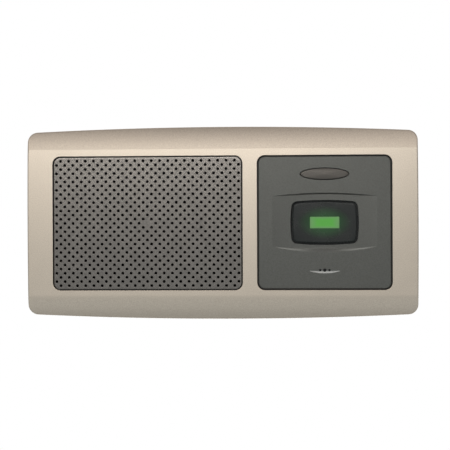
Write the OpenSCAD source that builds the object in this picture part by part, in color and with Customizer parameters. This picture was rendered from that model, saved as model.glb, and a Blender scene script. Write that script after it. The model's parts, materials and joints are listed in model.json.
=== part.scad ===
// Wall intercom station: a bowed front frame that holds a perforated speaker grille and a
// control panel with two press buttons, on a rear housing that screws to a two-gang wall box.
// Modules work in plan coordinates: x to the right, y up the wall, z out of the wall.
// on_wall() turns them into the part's frame: +Z up, front facing -Y, wall plane at y = 0.

/* [Front frame] */
// Width of the frame at mid height
frame_w = 176.2; // [160:0.1:190]
// Height of the frame at mid width
frame_h = 86.5; // [79:0.1:94]
// Depth from the wall to the flat front
frame_d = 32; // [29:0.1:40]
// How far the top and bottom edges bow out
edge_bow = 2.2; // [0.5:0.1:3]
// How far the two ends bow out
end_bow = 0.3; // [0.1:0.1:2]
// Radius of the four outer corners
corner_r = 4.5; // [3:0.1:7]
// Thickness of the skirt
skirt_wall = 2.2; // [1.8:0.1:2.5]
// Thickness of the front
front_wall = 2.5; // [2:0.1:3]
// Depth of the skirt behind the flat front
skirt_d = 20; // [18:0.5:21]
// Distance from the top edge down to the crease line
crease_drop = 9.95; // [8:0.05:10.5]
// Slope of the top band at the crease, in degrees
crease_angle = 6; // [2:1:12]
// Radius of the roll above the crease
top_roll_r = 58; // [30:1:90]
// Radius of the roll along the bottom edge
bottom_roll_r = 20; // [18:0.5:40]
// Distance from the bottom edge to the start of its roll
bottom_roll_run = 10.9; // [8:0.1:11]

/* [Openings in the frame] */
// Height of the bands above and below the openings
band_h = 13; // [12.8:0.1:14]
// Width of the bands at the two ends
end_w = 11.6; // [10.5:0.1:14]
// Width of the panel opening
panel_opening_w = 60.5; // [60:0.1:63]
// Width of the web between the openings
web_w = 6.5; // [5:0.1:8]
// Corner radius of the openings
opening_r = 3.5; // [2:0.1:6]
// Gap line around each insert
insert_gap = 0.5; // [0.3:0.05:0.8]
// Set-back of the inserts behind the flat front
insert_set_back = 0.3; // [0:0.05:0.8]
// Width of the flange behind the opening's edge
flange_w = 2; // [1.5:0.1:2.2]
// Thickness of the flange
flange_t = 1.2; // [1:0.1:1.6]

/* [Speaker grille] */
// Diameter of the sound holes
hole_d = 1.25; // [0.8:0.05:1.6]
// Spacing of the holes along a row
hole_pitch = 3.75; // [3:0.05:6]
// Least distance from a hole's centre to the grille's edge
hole_margin = 1.2; // [1:0.1:3]
// Thickness of the perforated skin
grille_skin = 1.2; // [0.8:0.1:1.5]
// Thickness of the grille's side wall
grille_wall = 0.6; // [0.4:0.05:0.7]
// Thickness of the dust cloth
cloth_t = 0.3; // [0.2:0.05:0.5]

/* [Control panel] */
// Thickness of the panel's plate
panel_t = 2.2; // [1.8:0.1:2.2]
// Eased edge round the panel's face
panel_ease = 0.4; // [0.2:0.05:0.6]
// Depth of the dished band at its middle
dish_depth = 0.75; // [0.4:0.05:0.9]
// Half the width of the dished band
dish_half_w = 22.3; // [20:0.1:26]
// Top of the dished band above the panel's middle
dish_top = 13.3; // [12.5:0.1:15]
// Radius of the dished band's upper edge
dish_top_r = 190; // [120:1:300]
// Bottom of the dished band below the panel's middle
dish_bottom = 13.2; // [12.5:0.1:15]
// Radius of the dished band's lower edge
dish_bottom_r = 114; // [80:1:200]
// Run of the ramp along the lower edge at the band's middle
dish_ramp = 1.5; // [0.8:0.1:2]
// Height of the microphone holes above the opening's lower edge
mic_rise = 9; // [8.5:0.05:10]
// Diameter of the middle microphone hole
mic_hole_d = 1.3; // [0.8:0.05:1.6]
// Diameter of the outer microphone holes
mic_side_hole_d = 0.9; // [0.5:0.05:1.3]
// Spacing of the microphone holes
mic_hole_step = 2.05; // [1.6:0.05:2.6]
// Top edge of the scoop below the middle of the microphone holes
scoop_drop = 0.25; // [0:0.05:0.5]
// Width of the scoop under the microphone holes
scoop_w = 13.8; // [8:0.1:18]
// Height of the scoop
scoop_h = 1.25; // [1:0.05:2]
// Depth of the scoop along its top edge
scoop_depth = 1; // [0.6:0.05:1.4]

/* [Call button] */
// Width of the cap
call_w = 28.6; // [26:0.1:30]
// Height of the cap
call_h = 18.2; // [17:0.1:20]
// How far the cap's four sides bow out
call_bow = 0.75; // [0.3:0.05:1.2]
// Corner radius of the cap
call_r = 1.6; // [1:0.1:3]
// Gap between the cap and the panel
call_gap = 0.9; // [0.5:0.05:1.1]
// Travel of the cap
call_travel = 1; // [0.4:0.1:1]
// Thickness of the cap's top
call_top = 1.6; // [1.2:0.1:2]
// Thickness of the cap's sides
call_wall = 1.4; // [1:0.1:1.8]
// Width of the lit window
window_w = 13.2; // [10:0.1:14]
// Height of the lit window
window_h = 5.2; // [4:0.1:6]

/* [Oval button] */
// Length of the oval cap
oval_w = 21.4; // [18:0.1:24]
// Height of the oval cap
oval_h = 5.2; // [4.8:0.1:6]
// Gap between the cap and the panel
oval_gap = 0.35; // [0.25:0.05:0.6]
// Middle of the oval below the opening's upper edge
oval_drop = 8.15; // [7.8:0.05:9]
// How far the oval's crown stands out of the panel
oval_crown = 0.5; // [0.1:0.05:1]
// Travel of the oval cap
oval_travel = 0.8; // [0.3:0.1:0.8]

/* [Loudspeaker] */
// Margin between the speaker's flange and the opening's upper edge
speaker_margin = 1.75; // [1.25:0.05:2.25]
// Room behind the loudspeaker and the transformer
back_room = 2.4; // [1.6:0.1:3]
// Thickness of the magnet ring
magnet_t = 5; // [4:0.1:5.5]
// Diameter of the magnet ring
magnet_d = 34; // [30:0.5:36]
// Diameter of the voice coil's bore
coil_d = 12.9; // [11:0.1:13.5]
// Travel of the cone each way
cone_travel = 0.6; // [0.2:0.1:0.7]

/* [Rear housing] */
// Thickness of the housing's sides
housing_wall = 2; // [1.6:0.1:2.2]
// Thickness of the housing's back
housing_back = 2.5; // [2.2:0.1:2.8]
// Spacing of the two wall box screws
fixing_step = 120.6; // [116:0.1:124]
// Diameter of the wall box screw holes
fixing_d = 4.2; // [3.6:0.1:5]
// Diameter of the cable hole in the grommet
cable_d = 10; // [6:0.5:12]

/* [Inside] */
// Thickness of the chassis plate
chassis_t = 2.5; // [2:0.1:2.5]
// Height of the ribs that clamp the inserts
clamp_rib = 4.8; // [4.6:0.1:5.2]
// Thickness of the circuit board
board_t = 1.6; // [1:0.1:1.8]
// How far the circuit board reaches past the panel opening
board_edge = 0.75; // [0:0.05:1]
// Gap between the board and the chassis plate
board_standoff = 1; // [0.8:0.1:1.4]
// Side of the push switch bodies
switch_size = 6; // [5:0.1:7]
// Number of ways in the terminal block
terminal_ways = 8; // [4:1:8]

/* [Hidden] */
// Fits
slip = 0.2;
thread_clear = 0.05;
seat_clear = 0.1;
glue_gap = 0.05;
bite = 1;
small_r = 0.4;

// Curve steps
bow_steps = 6;
corner_steps = 6;
roll_steps = 8;
oval_steps = 48;
wide_arc_steps = 720;
crown_steps = 180;

// Levels above the wall
back_edge_z = frame_d - skirt_d;
ceiling_z = frame_d - front_wall;
flange_z = ceiling_z - flange_t;
insert_z = frame_d - insert_set_back;
chassis_top_z = flange_z - clamp_rib;
chassis_z = chassis_top_z - chassis_t;
board_front_z = chassis_z - board_standoff;
board_back_z = board_front_z - board_t;
head_t = 1.6;
head_clear = 0.9;
rim_z = chassis_z - head_t - head_clear;
panel_back_z = insert_z - panel_t;
cap_z = insert_z - seat_clear;

// Openings and places across the front
opening_h = frame_h - 2 * band_h;
row_w = frame_w - 2 * end_w;
grille_opening_w = row_w - web_w - panel_opening_w;
crease_y = frame_h / 2 - crease_drop;
oval_rise = opening_h / 2 - oval_drop;
mic_drop = opening_h / 2 - mic_rise;
grille_x = -row_w / 2 + grille_opening_w / 2;
panel_x = row_w / 2 - panel_opening_w / 2;
web_x = -row_w / 2 + grille_opening_w + web_w / 2;

// Insert sizes
insert_r = opening_r - insert_gap;
insert_h = opening_h - 2 * insert_gap;
grille_w = grille_opening_w - 2 * insert_gap;
panel_w = panel_opening_w - 2 * insert_gap;
flange_h = opening_h + 2 * flange_w;
flange_r = opening_r + flange_w;
grille_flange_w = grille_opening_w + 2 * flange_w;
panel_flange_w = panel_opening_w + 2 * flange_w;
rib_t = 1.6;

// Frame bosses, seat ribs, hooks and case screws
boss_d = 6;
boss_inset_x = 24;
boss_x = [-frame_w / 2 + boss_inset_x, web_x, frame_w / 2 - boss_inset_x];
boss_clear = 0.65;
boss_y = flange_h / 2 + boss_d / 2 + boss_clear;
ear_r = boss_d / 2 + 0.4;
screw_d = 2.5;
screw_head_d = 4.6;
screw_bite = 4.5;
pilot_d = screw_d + 2 * thread_clear;
seat_rib_t = 2;
seat_rib_x = [frame_w / 2 - 16, 25];
seat_rib_y = 20;
lap_inset = skirt_wall + slip;
hook_x = 45;
hook_w = 10;
hook_t = 1.6;
lap_mid_z = (back_edge_z + rim_z) / 2;
case_screw_x = 50;
case_screw_d = 3;
case_head_d = 5.4;
case_head_t = 1.3;
case_head_sink = 0.2;
insert_len = 5;
insert_nut_d = 4.2;
case_boss_w = 8;

// Grille pattern: holes sit on every second point of a square grid
hole_step = hole_pitch / 2;
hole_columns = 2 * floor((grille_w / 2 - hole_margin) / hole_step) + 1;
hole_rows = 2 * floor((insert_h / 2 - hole_margin) / hole_step) + 1;

// Call button
collar_t = 1.5;
collar_d = 3.5;
collar_z = panel_back_z - collar_d;
lip_hold = 0.6;
lip_w = call_gap + lip_hold;
lip_t = 1.2;
lip_z = collar_z - seat_clear;
cap_under_z = cap_z - call_top;
cap_ease = 0.4;
window_r = 0.4;
lens_flange = 0.9;
lens_flange_t = 0.8;
light_box_t = 0.8;
post_d = 3;
post_x = window_w / 2 + lens_flange + slip + light_box_t + post_d / 2 - 0.4;

// Push switches
switch_h = 3.5;
plunger_reach = 2.9;
switch_body_z = board_front_z + switch_h;
plunger_d = 3.2;
plunger_z = switch_body_z + plunger_reach;
plunger_well = 2;
lamp_d = 3;
lamp_x = 3.2;
lamp_rim = 0.4;
lamp_rim_t = 1;
lamp_body = 3.6;

// Oval button
oval_hole_w = oval_w + 2 * oval_gap;
oval_hole_h = oval_h + 2 * oval_gap;
oval_collar_d = 1.6;
oval_collar_z = panel_back_z - oval_collar_d;
oval_lip_w = oval_gap + lip_hold;
oval_wall = 1;
oval_side_drop = 0.6;
oval_end_drop = 0.9;
oval_crown_z = insert_z + oval_crown;

// Microphone
capsule_d = 9.7;
capsule_t = 6;
capsule_set_back = 0.4;
capsule_pin_d = 0.8;
capsule_pin_x = 1.3;
boot_wall = 0.8;
boot_d = capsule_d + 2 * boot_wall;
boot_collar_t = 1.2;
boot_collar_h = 2;

// Chassis
chassis_edge = 1;
chassis_w = row_w + 2 * flange_w + 2 * chassis_edge;
chassis_h = flange_h + 2 * chassis_edge;
board_w = panel_opening_w + 2 * board_edge;
board_h = opening_h + 2 * board_edge;
board_hole_inset = 4;
board_hole_x = board_w / 2 - board_hole_inset;
board_hole_y = board_h / 2 - board_hole_inset;
board_post_d = 6;
speaker_post_h = 4;

// Loudspeaker levels and radii
speaker_x = grille_x;
speaker_size = opening_h - 2 * speaker_margin;
speaker_hole_at = speaker_size / 2 - 5;
speaker_flange_t = 1;
speaker_front_z = chassis_top_z + speaker_flange_t;
basket_t = 0.8;
top_plate_t = 2;
yoke_t = 1.8;
magnet_z = housing_back + back_room + yoke_t;
magnet_top_z = magnet_z + magnet_t;
basket_z = magnet_top_z + top_plate_t + basket_t;
coil_r = coil_d / 2;
coil_t = 0.3;
coil_overhang = 0.9;
gap_clear = 0.3;
neck_z = basket_z + 1.7;
basket_r = speaker_size / 2 - 3.3;
rim_r = basket_r - 2.6;
shelf_r = basket_r - 6.4;
speaker_hole_r = basket_r + 1.3;
shelf_z = basket_z + 1.5;
cone_rim_z = speaker_front_z - 2.4;
cone_t = 0.5;
cap_r = 8.6;
cap_rise = 2.2;

// Speaker wiring
tag_step = 5;
tag_end_r = speaker_size / 2 - 2;
tag_size = [4, 1.6, 0.4];
tag_board_t = 0.8;
tag_board_z = shelf_z - 2 * tag_board_t;
tag_z = tag_board_z - tag_size.z;
lead_d = 1.2;
lead_step = 2.5;
lead_run = 3;
socket_size = [7.6, 6.4, 4];
plug_size = [6.4, 5.6, 5];
plug_latch = [2.4, 0.8, 3];
part_gap = 0.95;
terminal_w = 10;
terminal_x = panel_x - board_w / 2 + terminal_w / 2 + 1.5;
plug_x = terminal_x + terminal_w / 2 + part_gap + socket_size.x / 2;
plug_y = board_h / 2 - 9;
plug_z = board_back_z - socket_size.z - plug_size.z;
lead_z = (housing_back + plug_z) / 2;

// Board components
terminal_step = 5.08;
terminal_t = 10;
terminal_screw_d = 3.8;
terminal_screw_t = 2.4;
terminal_well = 5;
terminal_mouth = [3.4, 3];
capacitor_r = 4;
capacitor_x = plug_x + socket_size.x / 2 + part_gap + capacitor_r;
capacitor_y = [20, 10, 0];
capacitor_t = 11.4;
capacitor_bead = 0.3;
core_size = [22, 18.5];
column_x = capacitor_x + capacitor_r + part_gap + core_size.x / 2;
transformer_y = board_h / 2 - 13;
transformer_t = board_back_z - housing_back - back_room;
core_window = [3.6, 11.5];
core_window_x = 5;
coil_size = [13.2, 11.2];
coil_flange = 2.5;
core_seat = 3;
relay_y = -board_h / 2 + 14;
relay_size = [20, 10, 10];
chip_y = -board_h / 2 + 17;
chip_size = [9.8, 6.4, 3.4];
chip_lift = 0.6;
chip_pin = [0.6, 1, 2.4];
chip_pin_step = 2.54;

// Cable entry
cable_x = web_x - 8.75;
cable_y = -frame_h / 2 + 23.25;
grommet_r = cable_d / 2 + 4;
grommet_flange = 2;
grommet_flange_t = 1.2;

$fn = 48;

// Radius of an arc from half its chord and its rise
function arc_r(half, rise) = (half * half + rise * rise) / (2 * rise);

// Centre of the corner arc that touches the top arc and the side arc
function corner_centre(a, ra, b, rb) =
  let (d = norm(b - a), e = (b - a) / d, u = (ra * ra - rb * rb + d * d) / (2 * d))
  a + u * e + sqrt(ra * ra - u * u) * [e.y, -e.x];

function arc_points(c, r, from, to, steps) =
  [for (i = [0:steps]) let (q = from + (to - from) * i / steps) c + r * [cos(q), sin(q)]];

// First quarter of a rectangle with bowed sides, drawn inset from its outer line
function bowed_quarter(w, h, bow_top, bow_side, r, inset) =
  let (rt = arc_r(w / 2, bow_top), rs = arc_r(h / 2, bow_side),
    a = [0, h / 2 - rt], b = [w / 2 - rs, 0],
    c = corner_centre(a, rt - r, b, rs - r),
    qs = atan2(c.y - b.y, c.x - b.x), qt = atan2(c.y - a.y, c.x - a.x),
    side = arc_points(b, rs - inset, 0, qs, bow_steps),
    turn = arc_points(c, max(r - inset, 0.2), qs, qt, corner_steps),
    top = arc_points(a, rt - inset, qt, 90, bow_steps))
  concat([for (i = [0:bow_steps - 1]) side[i]], turn, [for (i = [1:bow_steps]) top[i]]);

function four_ways(q) =
  let (n = len(q) - 1)
  concat(q, [for (i = [n - 1:-1:0]) [-q[i].x, q[i].y]],
    [for (i = [1:n]) -q[i]], [for (i = [n - 1:-1:1]) [q[i].x, -q[i].y]]);

function bowed_points(w, h, bow_top, bow_side, r, inset = 0) =
  four_ways(bowed_quarter(w, h, bow_top, bow_side, r, inset));

function rounded_points(w, h, r) =
  [for (k = [0:3], p = arc_points([(k == 0 || k == 3 ? 1 : -1) * (w / 2 - r),
    (k < 2 ? 1 : -1) * (h / 2 - r)], r, 90 * k, 90 * k + 90, corner_steps)) p];

function oval_points(w, h) =
  [for (i = [0:oval_steps - 1]) let (q = 360 * i / oval_steps) [w / 2 * cos(q), h / 2 * sin(q)]];

// Half height of the frame's outline at x, inset from its outer line
function edge_y(x, inset) =
  let (r = arc_r(frame_w / 2, edge_bow))
  frame_h / 2 - r + sqrt(pow(r - inset, 2) - x * x);

// Section of a front roll, from the flat to past the edge
function roll_points(side, start, r, angle, inset) =
  let (y0 = start - r * sin(angle), z0 = frame_d - r * cos(angle),
    q0 = acos(min(1, (r * cos(angle) - inset) / (r - inset))),
    q1 = asin((frame_h / 2 + bite - y0) / r))
  [for (i = [0:roll_steps]) let (q = q0 + (q1 - q0) * i / roll_steps)
    [side * (y0 + (r - inset) * sin(q)), z0 + (r - inset) * cos(q)]];

function reversed(p) = [for (i = [len(p) - 1:-1:0]) p[i]];

function frame_section(inset, base) =
  let (top = roll_points(1, crease_y, top_roll_r, crease_angle, inset),
    bottom = roll_points(-1, frame_h / 2 - bottom_roll_run, bottom_roll_r, 0, inset))
  concat(top, [[top[roll_steps].x, base], [bottom[roll_steps].x, base]], reversed(bottom));

function frame_outline(inset) =
  bowed_points(frame_w, frame_h, edge_bow, end_bow, corner_r, inset);

function call_outline(inset) =
  bowed_points(call_w, call_h, call_bow, call_bow, call_r, inset);

// Smooth route through hand-picked points
function spline(p0, p1, p2, p3, t) =
  0.5 * (2 * p1 + (p2 - p0) * t + (2 * p0 - 5 * p1 + 4 * p2 - p3) * t * t
    + (3 * p1 - p0 - 3 * p2 + p3) * t * t * t);

function smooth_route(p, steps) =
  let (n = len(p) - 1)
  concat([for (i = [0:n - 1], s = [0:steps - 1])
    spline(p[max(i - 1, 0)], p[i], p[i + 1], p[min(i + 2, n)], s / steps)], [p[n]]);

function unit(v) = v / norm(v);

module on_wall() {
  rotate([90, 0, 0]) children();
}

module slab(from, to) {
  translate([0, 0, from]) linear_extrude(to - from) children();
}

module rod(d, from, to) {
  translate([0, 0, from]) cylinder(d = d, h = to - from);
}

module plate(w, h, r, from, to) {
  slab(from, to) polygon(rounded_points(w, h, r));
}

// Prism with an eased top edge
module eased_plate(points, w, h, ease, from, to) {
  slab(from, to - ease) polygon(points);
  translate([0, 0, to - ease])
    linear_extrude(ease, scale = [1 - 2 * ease / w, 1 - 2 * ease / h], slices = 1) polygon(points);
}

module four_corners(x, y) {
  for (sx = [-1, 1], sy = [-1, 1])
    translate([sx * x, sy * y, 0]) children();
}

module at_bosses() {
  for (x = boss_x, side = [-1, 1])
    translate([x, side * boss_y, 0]) children();
}

module along_x(length) {
  translate([-length / 2, 0, 0]) rotate([90, 0, 90]) linear_extrude(length) children();
}

// Round tube swept along a smooth route
module swept_tube(route, d, sides = 8) {
  n = len(route) - 1;
  function heading(i) = unit(route[min(i + 1, n)] - route[max(i - 1, 0)]);
  function across(i) = unit(cross(heading(i), [0, 1, 0]));
  rings = [for (i = [0:n], k = [0:sides - 1])
    let (q = 360 * k / sides, side = across(i), up = cross(side, heading(i)))
    route[i] + d / 2 * (cos(q) * side + sin(q) * up)];
  walls = [for (i = [0:n - 1], k = [0:sides - 1], half = [0, 1])
    let (a = i * sides + k, b = i * sides + (k + 1) % sides)
    half == 0 ? [a, b, b + sides] : [a, b + sides, a + sides]];
  ends = [[for (k = [sides - 1:-1:0]) k], [for (k = [0:sides - 1]) n * sides + k]];
  polyhedron(rings, concat(walls, ends));
}

// Pan-head screw standing on z = 0 with its shank along +z
module pan_screw(d, head_d, length) {
  difference() {
    union() {
      rod(head_d, -head_t, 0);
      rod(d, -bite / 2, length);
    }
    translate([0, 0, -head_t - bite / 2]) linear_extrude(bite) {
      square([head_d * 0.55, 0.7], center = true);
      square([0.7, head_d * 0.55], center = true);
    }
  }
}

// Outer block of the frame, inset behind its skin
module frame_block(outline_inset, front_inset, base) {
  intersection() {
    along_x(frame_w + 2 * bite) polygon(frame_section(front_inset, base));
    slab(base, frame_d + bite) polygon(frame_outline(outline_inset));
  }
}

module case_screw_axis(x) {
  translate([x, -edge_y(x, 0), lap_mid_z]) rotate([-90, 0, 0]) children();
}

module frame_openings() {
  translate([grille_x, 0, 0])
    plate(grille_opening_w, opening_h, opening_r, chassis_top_z, frame_d + bite);
  translate([panel_x, 0, 0])
    plate(panel_opening_w, opening_h, opening_r, chassis_top_z, frame_d + bite);
}

module frame_inner_ribs() {
  reach = skirt_wall + slip + housing_wall;
  for (x = [for (s = [-1, 1], v = seat_rib_x) s * v], side = [-1, 1])
    translate([x - seat_rib_t / 2, side > 0 ? edge_y(x, reach) : -frame_h / 2, rim_z])
      cube([seat_rib_t, frame_h / 2 - edge_y(x, reach), frame_d - rim_z]);
  for (s = [-1, 1], y = [-seat_rib_y, seat_rib_y])
    translate([s > 0 ? frame_w / 2 - end_bow - reach : -frame_w / 2, y - seat_rib_t / 2, rim_z])
      cube([end_bow + reach, seat_rib_t, frame_d - rim_z]);
}

module frame_hooks() {
  reach = skirt_wall + slip + housing_wall - seat_clear;
  for (x = [-hook_x, hook_x])
    translate([x - hook_w / 2, edge_y(x, reach), lap_mid_z - hook_t / 2])
      cube([hook_w, reach, hook_t]);
}

module front_frame() {
  color([0.79, 0.74, 0.66]) on_wall() difference() {
    union() {
      difference() {
        frame_block(0, 0, back_edge_z);
        frame_block(skirt_wall, front_wall, back_edge_z - bite);
      }
      intersection() {
        frame_block(skirt_wall / 2, front_wall / 2, back_edge_z);
        union() {
          frame_inner_ribs();
          frame_hooks();
          at_bosses() rod(boss_d, chassis_top_z, frame_d);
        }
      }
    }
    frame_openings();
    at_bosses() rod(pilot_d, chassis_top_z - bite, chassis_top_z + screw_bite + seat_clear);
    for (x = [-case_screw_x, case_screw_x]) case_screw_axis(x) {
      rod(case_screw_d + 2 * slip, -bite, 2 * skirt_wall);
      translate([0, 0, -bite])
        cylinder(d = case_head_d + 2 * slip, h = bite + case_head_sink);
      translate([0, 0, case_head_sink])
        cylinder(d1 = case_head_d + 2 * slip, d2 = case_screw_d + 2 * slip, h = case_head_t);
    }
  }
}

// True where the staggered pattern has an open hole; the middle one is closed
function open_hole(i, j) =
  let (middle_i = (hole_columns - 1) / 2, middle_j = (hole_rows - 1) / 2)
  (i - middle_i + j - middle_j) % 2 == 0 && !(i == middle_i && j == middle_j);

module sound_holes() {
  for (j = [0:hole_rows - 1], i = [0:hole_columns - 1])
    if (open_hole(i, j))
      translate([(i - (hole_columns - 1) / 2) * hole_step, (j - (hole_rows - 1) / 2) * hole_step])
        circle(d = hole_d, $fn = 16);
}

module speaker_grille() {
  skin_z = insert_z - grille_skin;
  color([0.42, 0.41, 0.4]) on_wall() translate([grille_x, 0, 0]) {
    slab(skin_z, insert_z) difference() {
      polygon(rounded_points(grille_w, insert_h, insert_r));
      sound_holes();
    }
    slab(flange_z, skin_z + glue_gap) difference() {
      polygon(rounded_points(grille_w, insert_h, insert_r));
      polygon(rounded_points(grille_w - 2 * grille_wall, insert_h - 2 * grille_wall,
        insert_r - grille_wall));
    }
    slab(flange_z, ceiling_z) difference() {
      polygon(rounded_points(grille_flange_w, flange_h, flange_r));
      polygon(rounded_points(grille_w - 2 * grille_wall, insert_h - 2 * grille_wall,
        insert_r - grille_wall));
    }
  }
}

module grille_cloth() {
  top = insert_z - grille_skin;
  side = grille_wall + slip;
  color([0.05, 0.05, 0.05]) on_wall() translate([grille_x, 0, 0])
    plate(grille_w - 2 * side, insert_h - 2 * side, insert_r - side, top - cloth_t, top);
}

// Dished band: a shallow hollow cut off by an upright arc above and a ramp below
module dish_cut() {
  floor_r = arc_r(dish_half_w, dish_depth);
  deep = 2 * dish_depth;
  slope = dish_ramp / dish_depth;
  intersection() {
    translate([0, 0, insert_z - dish_depth + floor_r]) rotate([90, 0, 0])
      cylinder(r = floor_r, h = 3 * dish_half_w, center = true, $fn = wide_arc_steps);
    translate([0, dish_top - dish_top_r, insert_z - deep])
      cylinder(r = dish_top_r, h = deep + bite, $fn = wide_arc_steps);
    translate([0, dish_bottom_r - dish_bottom, insert_z - deep])
      cylinder(r1 = dish_bottom_r - slope * deep, r2 = dish_bottom_r + slope * bite,
        h = deep + bite, $fn = wide_arc_steps);
  }
}

// Crescent scoop with a straight top edge and a floor that rises downwards
module mic_scoop() {
  top_r = arc_r(scoop_w / 2, scoop_depth);
  translate([0, -mic_drop - scoop_drop, insert_z - scoop_depth + top_r]) rotate([90, 0, 0])
    cylinder(r1 = top_r, r2 = top_r - scoop_depth, h = scoop_h, $fn = crown_steps);
}

module control_panel() {
  color([0.35, 0.35, 0.33]) on_wall() translate([panel_x, 0, 0]) difference() {
    union() {
      eased_plate(rounded_points(panel_w, insert_h, insert_r), panel_w, insert_h, panel_ease,
        panel_back_z, insert_z);
      slab(flange_z, panel_back_z + panel_t / 2) difference() {
        polygon(rounded_points(panel_w, insert_h, insert_r));
        polygon(rounded_points(panel_w - 4 * flange_w, insert_h - 4 * flange_w, insert_r));
      }
      slab(flange_z, ceiling_z) difference() {
        polygon(rounded_points(panel_flange_w, flange_h, flange_r));
        polygon(rounded_points(panel_w - 4 * flange_w, insert_h - 4 * flange_w, insert_r));
      }
      slab(collar_z, panel_back_z + bite) polygon(call_outline(-call_gap - collar_t));
      translate([0, oval_rise, 0]) slab(oval_collar_z, panel_back_z + bite)
        polygon(oval_points(oval_hole_w + 2 * oval_wall, oval_hole_h + 2 * oval_wall));
      translate([0, -mic_drop, 0])
        rod(boot_d + 2 * slip + 2 * boot_collar_t, panel_back_z - boot_collar_h, panel_back_z + bite);
    }
    slab(collar_z - bite, insert_z + bite) polygon(call_outline(-call_gap));
    translate([0, oval_rise, 0]) slab(oval_collar_z - bite, insert_z + bite)
      polygon(oval_points(oval_hole_w, oval_hole_h));
    translate([0, -mic_drop, 0]) {
      rod(boot_d + 2 * slip, panel_back_z - boot_collar_h - bite, panel_back_z);
      for (k = [-1:1]) translate([k * mic_hole_step, 0, 0])
        rod(k == 0 ? mic_hole_d : mic_side_hole_d, panel_back_z - bite, insert_z + bite);
    }
    dish_cut();
    mic_scoop();
  }
}

module call_button() {
  box_w = window_w + 2 * lens_flange + 2 * slip;
  box_h = window_h + 2 * lens_flange + 2 * slip;
  box_z = plunger_z + seat_clear;
  color([0.18, 0.2, 0.19]) on_wall() translate([panel_x, 0, 0]) difference() {
    union() {
      difference() {
        union() {
          eased_plate(call_outline(0), call_w, call_h, cap_ease, lip_z - lip_t, cap_z);
          slab(lip_z - lip_t, lip_z) polygon(call_outline(-lip_w));
        }
        slab(lip_z - lip_t - bite, cap_under_z) polygon(call_outline(call_wall));
      }
      for (s = [-1, 1]) translate([s * post_x, 0, 0]) rod(post_d, box_z, cap_under_z + bite / 2);
      plate(box_w + 2 * light_box_t, box_h + 2 * light_box_t, window_r + light_box_t,
        box_z, cap_under_z + bite / 2);
    }
    plate(box_w, box_h, window_r, box_z - bite, cap_under_z);
    plate(window_w + 2 * glue_gap, window_h + 2 * glue_gap, window_r, box_z, cap_z + bite);
  }
}

module call_window() {
  color([0.34, 0.62, 0.29]) on_wall() translate([panel_x, 0, 0]) {
    plate(window_w, window_h, window_r, cap_under_z - lens_flange_t, cap_z - seat_clear);
    plate(window_w + 2 * lens_flange, window_h + 2 * lens_flange, window_r,
      cap_under_z - lens_flange_t, cap_under_z);
  }
}

// Roll that crowns the oval across its height (turn 90) or along its length (turn 0)
module oval_roll(span, drop, turn) {
  r = arc_r(span / 2, drop);
  translate([0, 0, oval_crown_z - r]) rotate([90, 0, turn])
    cylinder(r = r, h = 2 * oval_w, center = true, $fn = crown_steps);
}

module oval_button() {
  lip_top = oval_collar_z - seat_clear;
  foot = plunger_z + seat_clear;
  color([0.36, 0.34, 0.32]) on_wall() translate([panel_x, oval_rise, 0]) {
    difference() {
      union() {
        intersection() {
          slab(lip_top - lip_t, oval_crown_z + bite) polygon(oval_points(oval_w, oval_h));
          oval_roll(oval_h, oval_side_drop, 90);
          oval_roll(oval_w, oval_end_drop, 0);
        }
        slab(lip_top - lip_t, lip_top)
          polygon(oval_points(oval_w + 2 * oval_lip_w, oval_h + 2 * oval_lip_w));
      }
      slab(lip_top - lip_t - bite, cap_under_z)
        polygon(oval_points(oval_w - 2 * oval_wall, oval_h - 2 * oval_wall));
    }
    rod(post_d, foot, cap_under_z + bite / 2);
  }
}

module clamp_frame(x, w) {
  translate([x, 0, 0]) slab(chassis_top_z - bite, flange_z) difference() {
    polygon(rounded_points(w, flange_h, flange_r));
    polygon(rounded_points(w - 2 * rib_t, flange_h - 2 * rib_t, flange_r - rib_t));
  }
}

module inner_chassis() {
  post_top = flange_z - seat_clear;
  color([0.14, 0.14, 0.15]) on_wall() difference() {
    union() {
      difference() {
        plate(chassis_w, chassis_h, flange_r, chassis_z, chassis_top_z);
        translate([panel_x, 0, 0])
          plate(2 * board_hole_x, 2 * board_hole_y, insert_r, chassis_z - bite, chassis_top_z + bite);
      }
      at_bosses() rod(2 * ear_r, chassis_z, chassis_top_z);
      for (x = boss_x, side = [-1, 1])
        translate([x, side * (boss_y + chassis_h / 2 - ear_r) / 2, (chassis_z + chassis_top_z) / 2])
          cube([2 * ear_r, boss_y - chassis_h / 2 + ear_r, chassis_t], center = true);
      clamp_frame(grille_x, grille_flange_w);
      clamp_frame(panel_x, panel_flange_w);
      translate([panel_x, 0, 0]) four_corners(board_hole_x, board_hole_y)
        rod(board_post_d, board_front_z, post_top);
      translate([speaker_x, 0, 0]) four_corners(speaker_hole_at, speaker_hole_at)
        rod(boss_d, chassis_z - speaker_post_h, chassis_top_z);
    }
    translate([speaker_x, 0, 0]) rod(2 * speaker_hole_r, chassis_z - bite, chassis_top_z + bite);
    at_bosses() rod(screw_d + 2 * slip, chassis_z - bite, chassis_top_z + bite);
    translate([panel_x, 0, 0]) four_corners(board_hole_x, board_hole_y)
      rod(pilot_d, board_front_z - bite, board_front_z + screw_bite + seat_clear);
    translate([speaker_x, 0, 0]) four_corners(speaker_hole_at, speaker_hole_at)
      rod(pilot_d, chassis_z - speaker_post_h - bite, chassis_top_z + bite);
  }
}

module chassis_screws() {
  color([0.7, 0.7, 0.72]) on_wall() at_bosses() translate([0, 0, chassis_z])
    pan_screw(screw_d, screw_head_d, chassis_t + screw_bite);
}

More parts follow.
